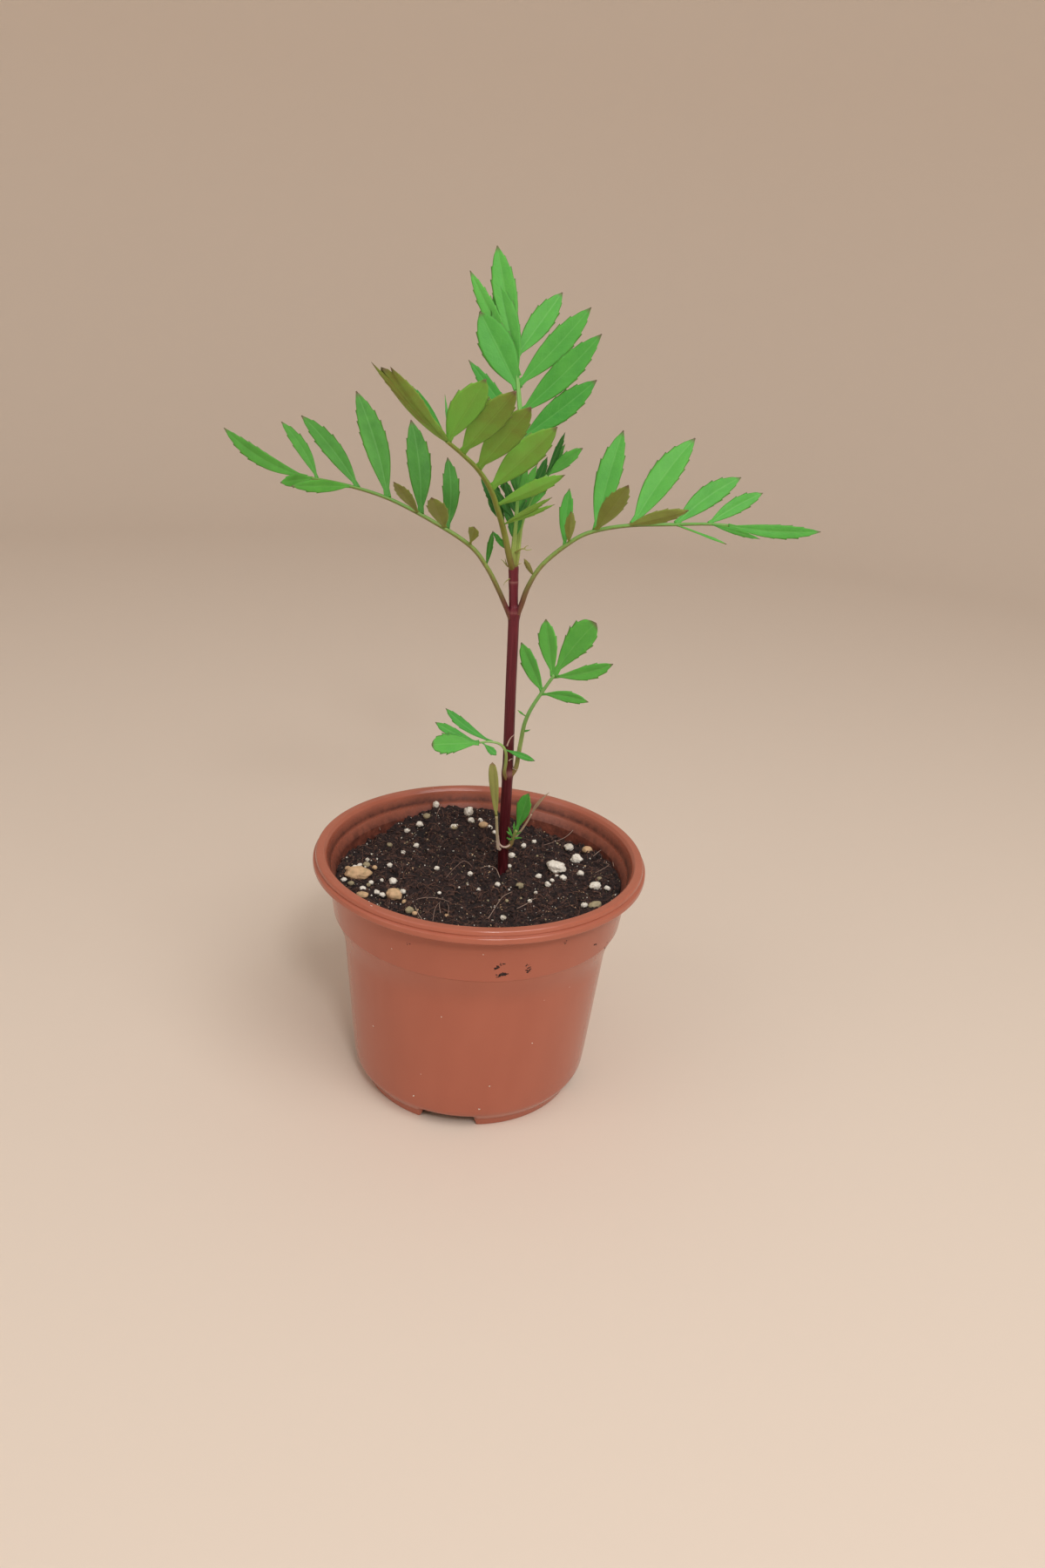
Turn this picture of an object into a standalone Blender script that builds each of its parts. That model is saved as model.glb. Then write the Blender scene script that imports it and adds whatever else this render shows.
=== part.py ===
"""Young potted French marigold in a round nursery pot. Lengths are mm here and metres in the scene, +Z up."""

import math
from typing import NamedTuple

import bmesh
import bpy
from mathutils import Matrix, Vector

MM = 0.001
GAP = 0.3  # air between neighbouring solids

# The pot's axis, so that the whole plant and pot are centred on the origin.
AXIS_X, AXIS_Y = -6.1, 4.9

# Pot: radius and height, from the middle of the floor inside, up the wall, over the lip and down outside.
POT_PROFILE = [
    (0.0, 6.2), (34.6, 6.2), (36.6, 7.3), (37.4, 9.6), (40.9, 50.0), (41.7, 53.4), (44.3, 60.4),
    (45.5, 72.2), (46.9, 75.1), (47.3, 76.6), (48.3, 79.1), (49.1, 80.0),
    (50.9, 80.0), (51.6, 79.4), (51.75, 78.6), (52.3, 78.0), (52.5, 77.2), (52.4, 76.3), (51.9, 75.9), (50.3, 75.9),
    (48.0, 75.3), (46.0, 60.2), (45.6, 59.7), (43.0, 53.0), (42.4, 50.5), (39.2, 13.6), (38.9, 10.4),
    (38.5, 7.8), (37.5, 5.6), (36.5, 4.4), (35.5, 3.9), (34.95, 0.5), (34.5, 0.0), (33.0, 0.0), (32.4, 5.0), (0.0, 5.0),
]
POT_STEPS = 48
NOTCHES, NOTCH_WIDTH, NOTCH_HEIGHT, NOTCH_TURN = 4, 17.0, 4.6, -99.0
DRAINS, DRAIN_RADIUS, DRAIN_CIRCLE = 8, 3.0, 26.0

# Potting mix: the same kind of profile, from the middle of its top, out, down and back in.
SOIL_PROFILE = [
    (0.0, 70.0), (9.0, 70.1), (18.0, 70.0), (27.0, 70.3), (36.0, 70.8), (42.5, 71.4), (44.9, 71.2),
    (43.9, 60.6), (41.3, 53.6), (40.5, 50.2), (37.0, 9.7), (36.2, 7.7), (34.4, 6.6), (0.0, 6.6),
]
SOIL_WAVE = 0.7

STEM = [
    ((7.5, 3.6, 63.0), 1.6), ((7.5, 3.6, 70.0), 1.65), ((7.2, 4.0, 80.0), 1.65), ((6.9, 4.0, 105.0), 1.65),
    ((6.2, 4.0, 131.0), 1.6), ((5.6, 4.0, 156.0), 1.6), ((5.3, 4.0, 159.0), 1.1), ((4.3, 4.2, 172.0), 1.05),
]

# Grains lying on the mix: centre and half sizes.
GRAINS = {
    "stone_1": ((-38.0, -6.0), (4.1, 2.8, 2.0)),
    "stone_2": ((-26.0, -18.0), (2.5, 2.2, 1.8)),
    "perlite_1": ((25.0, 6.0), (3.0, 2.2, 1.7)),
    "perlite_2": ((32.0, 13.0), (1.8, 1.7, 1.6)),
    "perlite_3": ((37.0, -5.0), (1.8, 1.5, 1.3)),
    "perlite_4": ((-5.0, 41.5), (1.5, 1.5, 1.9)),
}


class Leaflet(NamedTuple):
    """One blade of a leaf. Lengths are mm and angles degrees."""

    place: float  # share of the midrib's length, 0 to 1
    side: int
    length: float
    width: float
    spread: float  # angle from the midrib
    lift: float  # rise out of the leaf's plane
    bow: float = 0.0  # how far the middle lies off the straight line, in the blade's plane
    sag: float = 0.0  # and out of it
    turn: float = 0.0  # roll about its own length


# A leaf: the points of its stalk and midrib, the way its upper side faces, its radius at base and tip, and
# its leaflets.
LEAVES = {
    "leaf_left": (
        [(3.2, 3.0, 158.0), (0.8, 2.0, 163.0), (-3.0, 0.0, 170.0), (-8.0, -1.0, 176.0), (-18.0, -2.0, 182.0),
         (-31.0, -3.0, 188.0), (-43.0, -3.0, 191.0), (-54.0, -3.0, 192.5)],
        (0.3, 0.0, 1.0), (0.9, 0.45),
        [Leaflet(1.00, 1, 30, 4.2, 28.2, 28.4, -2.0, 0, -50), Leaflet(0.96, 1, 20, 3.6, 49.7, 52.7, 1, 0, 0),
         Leaflet(0.80, 1, 26, 5.3, 38.5, 56.9, 1, 0, 0), Leaflet(0.68, 1, 31, 7.0, 53.8, 61.2, 1, 0, 0),
         Leaflet(0.54, 1, 26, 6.8, 58.3, 66, 1, 0, 0), Leaflet(0.42, 1, 20, 4.9, 61.9, 68, 1, 0, 0),
         Leaflet(0.83, -1, 19, 2.6, 46.6, -5.4, 0, 0, -70), Leaflet(0.55, -1, 23, 3.6, 61.1, 22, 0, 0, 30),
         Leaflet(0.43, -1, 21, 5.4, 63.8, 26, 0, 0, 25), Leaflet(0.31, -1, 11, 3.2, 68.5, 35.3, 0, 0, 0),
         Leaflet(0.20, -1, 11, 1.8, 39.8, 76.7, 0, 0, 180)],
    ),
    "leaf_right": (
        [(7.5, 3.0, 158.5), (9.4, 1.0, 165.5), (13.2, 0.0, 172.3), (21.3, -1.0, 179.8), (27.5, -1.0, 182.8),
         (36.5, -2.0, 185.0), (48.0, -2.0, 186.0), (58.0, -3.0, 187.0), (64.0, -3.0, 187.0)],
        (-0.2, 0.0, 1.0), (0.9, 0.45),
        [Leaflet(1.00, 1, 28, 3.9, -8.7, 6.4, 0.8, 0, 90), Leaflet(0.92, -1, 19, 4.4, 34.8, 44.9, -0.5, 0, 20),
         Leaflet(0.79, -1, 24, 6.2, 38.1, 48, -1, 0, 15), Leaflet(0.62, -1, 31, 8.0, 52, 59.7, -1, 0, 0),
         Leaflet(0.47, -1, 29, 7.0, 61.5, 67.6, -0.6, 0, 0), Leaflet(0.33, -1, 16, 3.9, 50.8, 75.4, -0.3, 0, 0),
         Leaflet(0.93, 1, 17, 1.8, 44.1, -6.7, 0, 0, 70), Leaflet(0.79, 1, 18, 1.6, 41.2, -17.2, 0, 0, 0),
         Leaflet(0.60, 1, 20, 4.0, 34.5, 24.5, 0, 0, -45), Leaflet(0.47, 1, 25, 5.8, 62, 36, 0, 0, -25),
         Leaflet(0.35, 1, 15, 2.9, 61.9, 39.2, 0, 0, -15), Leaflet(0.15, 1, 9, 1.6, 57, 50, 0, 0, 0)],
    ),
    "leaf_back": (
        [(4.9, 6.7, 169.5), (5.5, 8.5, 180.0), (5.5, 11.0, 195.0), (5.0, 13.0, 205.0), (3.5, 15.0, 214.0),
         (2.0, 18.0, 224.0), (1.0, 20.0, 229.0)],
        (0.0, -1.0, 0.2), (0.9, 0.45),
        [Leaflet(1.00, 1, 29, 7.0, -2.1, 8, 0, 0, 0), Leaflet(0.95, 1, 23, 6.7, 42.8, -4.7, 0, 0, 0),
         Leaflet(0.82, 1, 29, 7.2, 50.1, 10.7, 0.5, 0, 0), Leaflet(0.69, 1, 31, 7.5, 55.3, 15, 0.6, 0, 0),
         Leaflet(0.58, 1, 26, 7.0, 57.2, 12.8, 0.4, 0, 0), Leaflet(0.90, -1, 31, 4.5, 21.2, -17.2, 0, 0, 0),
         Leaflet(0.86, -1, 27, 8.0, 9.3, -33.4, 0, 0, 20), Leaflet(0.80, -1, 24, 9.6, 22.7, -2.4, 0, 0, 0),
         Leaflet(0.60, -1, 25, 3.8, 37.2, 24.2, 0, 0, -10)],
    ),
    "leaf_front": (
        [(3.5, 1.7, 172.0), (1.3, -1.5, 180.5), (-0.5, -6.0, 186.5), (-3.0, -11.0, 193.5), (-6.5, -17.5, 199.5),
         (-10.5, -24.0, 204.0), (-14.5, -31.0, 208.0)],
        (0.0, 0.6, 0.8), (0.95, 0.5),
        [Leaflet(1.00, 1, 39, 5.0, -5.8, -15.6, 0, -1.2, 0), Leaflet(1.00, 1, 19, 1.8, 20.6, 74.6, 1.5, 0, -40),
         Leaflet(0.97, 1, 13, 1.2, 84.4, 85.9, 0, 0, -40), Leaflet(1.00, -1, 22, 8.4, 55.9, 24, 0, 0, -20),
         Leaflet(0.85, -1, 26, 8.4, 58.9, 16.4, 0, 0, -20), Leaflet(0.68, -1, 27, 8.2, 54.1, 12, 0, 0, -20),
         Leaflet(0.50, -1, 27, 8.0, 57.8, 14.6, 0, 0, -20), Leaflet(0.38, -1, 24, 4.0, 63.7, -4.7, 0, 0, -15),
         Leaflet(0.23, -1, 20, 2.2, 57.0, -5.5, 0, 0, -20), Leaflet(0.09, 1, 7, 1.8, 29, 10, 0, 0, 0)],
    ),
    "young_leaf_right": (
        [(6.2, 4.4, 172.7), (6.8, 5.0, 182.0), (9.0, 4.5, 190.0), (12.5, 3.5, 196.5)],
        (-0.3, -1.0, 0.3), (0.5, 0.4),
        [Leaflet(1.00, 1, 13, 3.6, 18, 0), Leaflet(0.97, -1, 13, 1.6, 14, 0), Leaflet(0.80, 1, 8, 1.6, 31, 20)],
    ),
    "young_leaf_middle": (
        [(4.3, 4.0, 173.0), (4.5, 3.4, 182.0), (4.5, 2.6, 190.0)],
        (0.0, -1.0, 0.2), (0.5, 0.4),
        [Leaflet(1.00, -1, 12, 1.8, 16, 0), Leaflet(1.00, 1, 14, 2.0, 1, 0), Leaflet(0.73, 1, 14, 1.8, 9, 10),
         Leaflet(0.59, -1, 13, 1.8, 20, 0), Leaflet(0.59, 1, 11, 1.8, 21, 0)],
    ),
    "young_leaf_left": (
        [(2.8, 4.8, 172.8), (1.5, 5.2, 180.0), (-0.5, 5.4, 186.0)],
        (0.3, -1.0, 0.3), (0.45, 0.35),
        [Leaflet(0.92, 1, 13, 2.4, -21, 0), Leaflet(0.92, 1, 12, 2.0, -5, 0)],
    ),
    "lower_leaf_right": (
        [(9.3, 3.0, 107.0), (9.9, 2.6, 112.0), (10.4, 2.0, 117.0), (11.0, 0.0, 123.0), (12.5, -2.0, 128.5),
         (15.5, -4.0, 135.0), (18.5, -6.0, 141.0)],
        (-0.2, -0.8, 0.6), (0.7, 0.45),
        [Leaflet(1.00, 1, 22, 9.6, 3.2, 2.4), Leaflet(0.98, -1, 17, 6.4, 44.1, 6.6),
         Leaflet(0.98, 1, 19.5, 4.4, 37.4, -18.7, -1.0), Leaflet(0.81, -1, 16, 5.6, 67.5, -1.8),
         Leaflet(0.78, 1, 15.5, 3.5, 57.1, -11.9, -0.7)],
    ),
    "lower_leaf_left": (
        [(5.9, 1.1, 106.0), (6.1, 0.0, 110.0), (5.8, -1.0, 114.0), (4.0, -1.5, 116.5), (0.5, -2.0, 117.3),
         (-2.4, -2.2, 116.8)],
        (0.0, -0.8, 0.6), (0.7, 0.45),
        [Leaflet(0.78, 1, 18, 3.5, 35.8, -21.1, -1.0, 0, -20), Leaflet(1.00, 1, 15, 3.0, 35.6, 0.8, -0.6),
         Leaflet(1.00, -1, 14.5, 6.2, -7.6, 1.6), Leaflet(0.95, -1, 6, 2.4, 127.4, 0.2),
         Leaflet(0.38, 1, 9.5, 1.8, 109.5, -0.9, 0, 0, -30)],
    ),
    "cotyledon_left": (
        [(5.6, 2.0, 79.5), (5.0, 1.2, 84.0), (4.3, 0.5, 91.5)],
        (-0.2, -1.0, 0.0), (0.55, 0.5),
        [Leaflet(1.00, 1, 19, 2.9, -1.7, -0.7)],
    ),
    "cotyledon_right": (
        [(9.7, 4.8, 81.0), (12.4, 4.5, 85.0), (14.4, 4.0, 89.0), (15.4, 3.6, 91.6)],
        (-0.2, -1.0, 0.0), (0.5, 0.5),
        [Leaflet(1.00, 1, 10, 1.6, 10.3, -0.6)],
    ),
    "side_shoot": (
        [(9.4, 2.2, 81.0), (10.2, 1.5, 84.5), (11.0, 0.8, 87.0)],
        (-0.3, -0.8, 0.5), (0.6, 0.5),
        [Leaflet(0.95, 1, 15, 4.8, -8, 0)],
    ),
}
BLADE_THICKNESS = 0.5
BLADE_ROWS = 6
BLADE_WIDTHS = [(0.0, 0.16), (0.12, 0.34), (0.3, 0.74), (0.5, 1.0), (0.7, 0.92), (0.88, 0.52), (1.0, 0.07)]

COLOURS = {
    "nursery_plastic": (0.39, 0.11, 0.06, 1.0),
    "potting_mix": (0.02, 0.013, 0.01, 1.0),
    "stem_skin": (0.12, 0.02, 0.03, 1.0),
    "leaf_tissue": (0.10, 0.36, 0.08, 1.0),
    "cotyledon_tissue": (0.30, 0.26, 0.10, 1.0),
    "perlite": (0.75, 0.70, 0.60, 1.0),
    "grit_stone": (0.52, 0.38, 0.20, 1.0),
}


def clear_scene():
    for obj in list(bpy.data.objects):
        bpy.data.objects.remove(obj)


def new_collection(name, parent, hidden=False):
    collection = bpy.data.collections.new(name)
    parent.children.link(collection)
    collection.hide_render = hidden
    return collection


def material_for(name, slot):
    """A Principled material of the slot's colour, named for the node so that each node has its own."""
    material = bpy.data.materials.new(f"{name}_{slot}")
    material.use_nodes = True
    shader = material.node_tree.nodes["Principled BSDF"]
    shader.inputs["Base Color"].default_value = COLOURS[slot]
    shader.inputs["Roughness"].default_value = 0.5
    return material


def add_object(name, data, collection, slot=None):
    obj = bpy.data.objects.new(name, data)
    collection.objects.link(obj)
    if slot:
        data.materials.append(material_for(name, slot))
    return obj


def as_cutter(obj):
    obj.hide_render = True
    obj.display_type = "WIRE"
    return obj


def evaluated_mesh(obj, merge=0.0):
    """The object's evaluated mesh as plain data, with doubles merged if a distance is given."""
    graph = bpy.context.evaluated_depsgraph_get()
    mesh = bpy.data.meshes.new_from_object(obj.evaluated_get(graph))
    if merge:
        shape = bmesh.new()
        shape.from_mesh(mesh)
        bmesh.ops.remove_doubles(shape, verts=shape.verts, dist=merge)
        bmesh.ops.recalc_face_normals(shape, faces=shape.faces)
        shape.to_mesh(mesh)
        shape.free()
    return mesh


def shade_smooth(mesh, smooth=True):
    for polygon in mesh.polygons:
        polygon.use_smooth = smooth


def boolean(obj, other, operation="DIFFERENCE"):
    """Adds an exact Boolean of an object or a whole collection."""
    modifier = obj.modifiers.new("Boolean", "BOOLEAN")
    modifier.operation = operation
    modifier.solver = "EXACT"
    if isinstance(other, bpy.types.Collection):
        modifier.operand_type = "COLLECTION"
        modifier.collection = other
    else:
        modifier.object = other


def turned_mesh(name, profile, collection):
    """The profile turned about Z with a Screw, as a plain closed mesh."""
    mesh = bpy.data.meshes.new(name)
    points = [(radius * MM, 0.0, height * MM) for radius, height in profile]
    mesh.from_pydata(points, [(i, i + 1) for i in range(len(points) - 1)], [])
    guide = add_object(name + "_turning", mesh, collection)
    screw = guide.modifiers.new("Screw", "SCREW")
    screw.steps = screw.render_steps = POT_STEPS
    screw.use_merge_vertices = True
    screw.merge_threshold = 0.00001
    turned = evaluated_mesh(guide, merge=0.00001)
    bpy.data.objects.remove(guide)
    return turned


def place_on_axis(obj):
    obj.location = (AXIS_X * MM, AXIS_Y * MM, 0.0)


def cylinder_cutter(name, centre, radius, low, high, collection):
    mesh = bpy.data.meshes.new(name)
    shape = bmesh.new()
    bmesh.ops.create_cone(
        shape, cap_ends=True, segments=24, radius1=radius * MM, radius2=radius * MM, depth=(high - low) * MM
    )
    bmesh.ops.translate(shape, verts=shape.verts, vec=Vector((*centre, (low + high) / 2)) * MM)
    shape.to_mesh(mesh)
    shape.free()
    return as_cutter(add_object(name, mesh, collection))


def build_pot(collection, cutters):
    pot = add_object("pot", turned_mesh("pot", POT_PROFILE, cutters), collection, "nursery_plastic")
    shade_smooth(pot.data)
    place_on_axis(pot)
    notches = new_collection("pot_cutters", cutters, hidden=True)
    for index in range(NOTCHES):
        angle = math.tau * index / NOTCHES + math.radians(NOTCH_TURN)
        mesh = bpy.data.meshes.new(f"notch_{index}")
        shape = bmesh.new()
        bmesh.ops.create_cube(shape, size=1.0)
        bmesh.ops.scale(shape, verts=shape.verts, vec=Vector((10.0, NOTCH_WIDTH, 2 * NOTCH_HEIGHT)) * MM)
        bmesh.ops.translate(shape, verts=shape.verts, vec=Vector((35.5, 0.0, 0.0)) * MM)
        bmesh.ops.rotate(shape, verts=shape.verts, matrix=Matrix.Rotation(angle, 3, "Z"))
        shape.to_mesh(mesh)
        shape.free()
        place_on_axis(as_cutter(add_object(mesh.name, mesh, notches)))
    for index in range(DRAINS):
        angle = math.tau * index / DRAINS
        centre = (DRAIN_CIRCLE * math.cos(angle), DRAIN_CIRCLE * math.sin(angle))
        place_on_axis(cylinder_cutter(f"drain_{index}", centre, DRAIN_RADIUS, 3.5, 7.5, notches))
    boolean(pot, notches)
    return pot


def soil_height(x, y):
    """The uneven top of the mix, as an offset in mm."""
    return SOIL_WAVE * (math.sin(0.21 * x + 0.6) * math.cos(0.17 * y) + 0.5 * math.sin(0.33 * y + 0.2 * x))


def build_soil(collection, cutters):
    mesh = turned_mesh("potting_mix", SOIL_PROFILE, cutters)
    for vertex in mesh.vertices:
        radius = math.hypot(vertex.co.x, vertex.co.y) / MM
        if vertex.co.z > 69.5 * MM and radius < 44.0:
            fade = min(1.0, (44.0 - radius) / 8.0)
            vertex.co.z += fade * soil_height(vertex.co.x / MM, vertex.co.y / MM) * MM
    soil = add_object("potting_mix", mesh, collection, "potting_mix")
    place_on_axis(soil)
    holes = new_collection("soil_cutters", cutters, hidden=True)
    (foot_x, foot_y, foot_z), radius = STEM[0]
    hole = cylinder_cutter("stem_hole", (foot_x, foot_y), radius + 0.35, foot_z - GAP, 80.0, holes)
    place_on_axis(hole)
    boolean(soil, hole)


def tube_mesh(name, points, radii, collection, sides=1):
    """A round tapering rod through the points, from a bevelled curve with filled caps."""
    curve = bpy.data.curves.new(name + "_line", "CURVE")
    curve.dimensions = "3D"
    curve.bevel_depth = MM
    curve.bevel_resolution = sides
    curve.use_fill_caps = True
    curve.resolution_u = 2
    spline = curve.splines.new("BEZIER")
    spline.bezier_points.add(len(points) - 1)
    for knot, point, radius in zip(spline.bezier_points, points, radii):
        knot.co = Vector(point) * MM
        knot.radius = radius
        knot.handle_left_type = knot.handle_right_type = "AUTO"
    guide = add_object(name + "_line", curve, collection)
    mesh = evaluated_mesh(guide, merge=0.00001)
    bpy.data.objects.remove(guide)
    return mesh


def build_stem(collection, cutters):
    points, radii = zip(*STEM)
    stem = add_object("stem", tube_mesh("stem", points, radii, cutters), collection, "stem_skin")
    shade_smooth(stem.data)
    place_on_axis(stem)


class Midrib:
    """A leaf's midrib: a smooth line with a frame at each place along it."""

    def __init__(self, points, upper):
        knots = [Vector(p) for p in points]
        knots = [2 * knots[0] - knots[1], *knots, 2 * knots[-1] - knots[-2]]
        self.line = []
        for a, b, c, d in zip(knots, knots[1:], knots[2:], knots[3:]):
            for step in range(12):
                t = step / 12
                self.line.append(
                    0.5 * (2 * b + (c - a) * t + (2 * a - 5 * b + 4 * c - d) * t**2 + (3 * b - a - 3 * c + d) * t**3)
                )
        self.line.append(knots[-2])
        self.upper = Vector(upper)
        self.reach = [0.0]
        for start, end in zip(self.line, self.line[1:]):
            self.reach.append(self.reach[-1] + (end - start).length)

    def point(self, distance):
        distance = min(max(distance, 0.0), self.reach[-1])
        for index in range(1, len(self.line)):
            if distance <= self.reach[index]:
                step = self.reach[index] - self.reach[index - 1]
                share = (distance - self.reach[index - 1]) / step
                return self.line[index - 1].lerp(self.line[index], share)
        return self.line[-1].copy()

    def frame(self, place):
        """Point, direction, upper side and cross direction at a share of the length."""
        distance = place * self.reach[-1]
        along = (self.point(distance + 1.0) - self.point(distance - 1.0)).normalized()
        upper = (self.upper - along * self.upper.dot(along)).normalized()
        return self.point(distance), along, upper, along.cross(upper)


def width_share(place):
    for (low, a), (high, b) in zip(BLADE_WIDTHS, BLADE_WIDTHS[1:]):
        if place <= high:
            return a + (b - a) * (place - low) / (high - low)
    return BLADE_WIDTHS[-1][1]


def blade_mesh(name, midrib, leaflet):
    """A leaflet as a sheet: a grid shaped to the blade's outline and slightly folded at its midrib."""
    base, along, upper, cross = midrib.frame(leaflet.place)
    spread, lift = math.radians(leaflet.spread), math.radians(leaflet.lift)
    outward = math.cos(lift) * leaflet.side * cross + math.sin(lift) * upper
    line = math.cos(spread) * along + math.sin(spread) * outward
    face = (-leaflet.side * along.cross(outward)).normalized()
    face.rotate(Matrix.Rotation(math.radians(leaflet.turn), 3, line))
    across = line.cross(face)
    mesh = bpy.data.meshes.new(name)
    shape = bmesh.new()
    bmesh.ops.create_grid(shape, x_segments=2, y_segments=BLADE_ROWS, size=1.0)
    for vertex in shape.verts:
        far, aside = (vertex.co.y + 1) / 2, vertex.co.x
        half = width_share(far) * leaflet.width / 2
        bend = 4 * far * (1 - far)
        point = base + line * leaflet.length * far + across * (aside * half + leaflet.bow * bend)
        vertex.co = (point + face * (leaflet.sag * bend + abs(aside) * 0.15 * half)) * MM
    shape.to_mesh(mesh)
    shape.free()
    return mesh


def build_leaf(name, slot, collection, cutters):
    points, upper, (first, last), leaflets = LEAVES[name]
    count = len(points)
    radii = [first + (last - first) * index / (count - 1) for index in range(count)]
    leaf = add_object(name, tube_mesh(name, points, radii, cutters), collection, slot)
    place_on_axis(leaf)
    blades = new_collection(name + "_blades", cutters, hidden=True)
    midrib = Midrib(points, upper)
    for index, leaflet in enumerate(leaflets):
        mesh = blade_mesh(f"{name}_blade_{index}", midrib, leaflet)
        blade = as_cutter(add_object(mesh.name, mesh, blades))
        place_on_axis(blade)
        solid = blade.modifiers.new("Solidify", "SOLIDIFY")
        solid.thickness = BLADE_THICKNESS * MM
        solid.offset = 0.0
    boolean(leaf, blades, "UNION")


def build_grain(name, collection):
    (x, y), (half_x, half_y, half_z) = GRAINS[name]
    mesh = bpy.data.meshes.new(name)
    shape = bmesh.new()
    bmesh.ops.create_icosphere(shape, subdivisions=2, radius=1.0)
    for vertex in shape.verts:
        lump = 1.0 + 0.1 * math.sin(5.0 * vertex.co.x + x) * math.cos(4.0 * vertex.co.y + y)
        vertex.co = Vector((vertex.co.x * half_x, vertex.co.y * half_y, vertex.co.z * half_z)) * lump * MM
    shape.to_mesh(mesh)
    shape.free()
    grain = add_object(name, mesh, collection, "grit_stone" if name.startswith("stone") else "perlite")
    shade_smooth(mesh)
    level = 70.5 + 0.9 * max(0.0, math.hypot(x, y) - 27.0) / 16.0 + soil_height(x, y)
    grain.location = ((AXIS_X + x) * MM, (AXIS_Y + y) * MM, (level + half_z + GAP) * MM)


def main():
    clear_scene()
    root = bpy.context.scene.collection
    collection = new_collection("potted_french_marigold", root)
    cutters = new_collection("cutters", root, hidden=True)
    build_pot(collection, cutters)
    build_soil(collection, cutters)
    build_stem(collection, cutters)
    for name in LEAVES:
        build_leaf(name, "cotyledon_tissue" if name.startswith("cotyledon") else "leaf_tissue", collection, cutters)
    for name in GRAINS:
        build_grain(name, collection)


main()
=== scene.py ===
"""Young French marigold in a moulded nursery pot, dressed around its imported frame.

Sizes in the classes are millimetres and places are measured from the pot's axis, with +Z up. Every mesh is
written in metres.
"""

from __future__ import annotations

import functools
import logging
import math
import random
from collections.abc import Callable, Sequence
from dataclasses import dataclass
from typing import NamedTuple

import bmesh
import bpy
from mathutils import Euler, Matrix, Vector, noise


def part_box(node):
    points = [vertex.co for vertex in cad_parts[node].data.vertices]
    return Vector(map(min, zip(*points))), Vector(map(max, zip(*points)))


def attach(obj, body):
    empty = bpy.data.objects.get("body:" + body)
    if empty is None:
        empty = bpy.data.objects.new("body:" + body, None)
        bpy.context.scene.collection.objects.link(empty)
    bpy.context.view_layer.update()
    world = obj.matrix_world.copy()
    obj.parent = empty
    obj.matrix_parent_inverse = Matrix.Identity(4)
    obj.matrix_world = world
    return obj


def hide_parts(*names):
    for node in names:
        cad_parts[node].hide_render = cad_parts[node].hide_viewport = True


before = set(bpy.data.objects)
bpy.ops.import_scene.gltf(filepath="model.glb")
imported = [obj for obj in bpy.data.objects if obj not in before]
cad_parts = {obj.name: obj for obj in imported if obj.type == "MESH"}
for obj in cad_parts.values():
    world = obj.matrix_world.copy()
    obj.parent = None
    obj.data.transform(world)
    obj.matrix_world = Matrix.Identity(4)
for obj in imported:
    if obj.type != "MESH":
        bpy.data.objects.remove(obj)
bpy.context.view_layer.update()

LOG = logging.getLogger("potted_marigold")
MM = 0.001
BODY = "root"

# Socket places of a colour Mix node, whose socket names repeat.
MIX_FACTOR, MIX_A, MIX_B, MIX_RESULT = 0, 6, 7, 2

Place = tuple[float, float, float]
Colour = tuple[float, float, float, float]
Socket = bpy.types.NodeSocket


# ---------------------------------------------------------------------------------------------- finishes


def srgb(code: str) -> Colour:
    """Turns an sRGB colour, written as #RRGGBB, into the linear one that shaders work in."""
    shares = (int(code[start : start + 2], 16) / 255 for start in (1, 3, 5))
    linear = [c / 12.92 if c <= 0.04045 else ((c + 0.055) / 1.055) ** 2.4 for c in shares]
    return (*linear, 1.0)


def per_mm(size: float) -> float:
    """Gives the texture scale, in cycles for each metre, of a pattern that repeats every `size` mm."""
    return 1.0 / (size * MM)


def set_inputs(tree: bpy.types.NodeTree, node: bpy.types.Node, inputs: dict) -> None:
    """Sets a node's inputs.

    Args:
        tree: The material's nodes.
        node: The node to set.
        inputs: Socket names or places, each with a number, a hex colour or the output that feeds it.
    """
    for key, value in inputs.items():
        if isinstance(value, Socket):
            tree.links.new(value, node.inputs[key])
        else:
            node.inputs[key].default_value = srgb(value) if isinstance(value, str) else value


def add_node(tree: bpy.types.NodeTree, kind: str, inputs: dict, **settings: object) -> bpy.types.Node:
    """Adds a node and returns it.

    Args:
        tree: The material's nodes.
        kind: Blender's name for the node, after ShaderNode.
        inputs: What its inputs are set to.
        **settings: The node's own properties.
    """
    node = tree.nodes.new("ShaderNode" + kind)
    for name, value in settings.items():
        setattr(node, name, value)
    set_inputs(tree, node, inputs)
    return node


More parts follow.
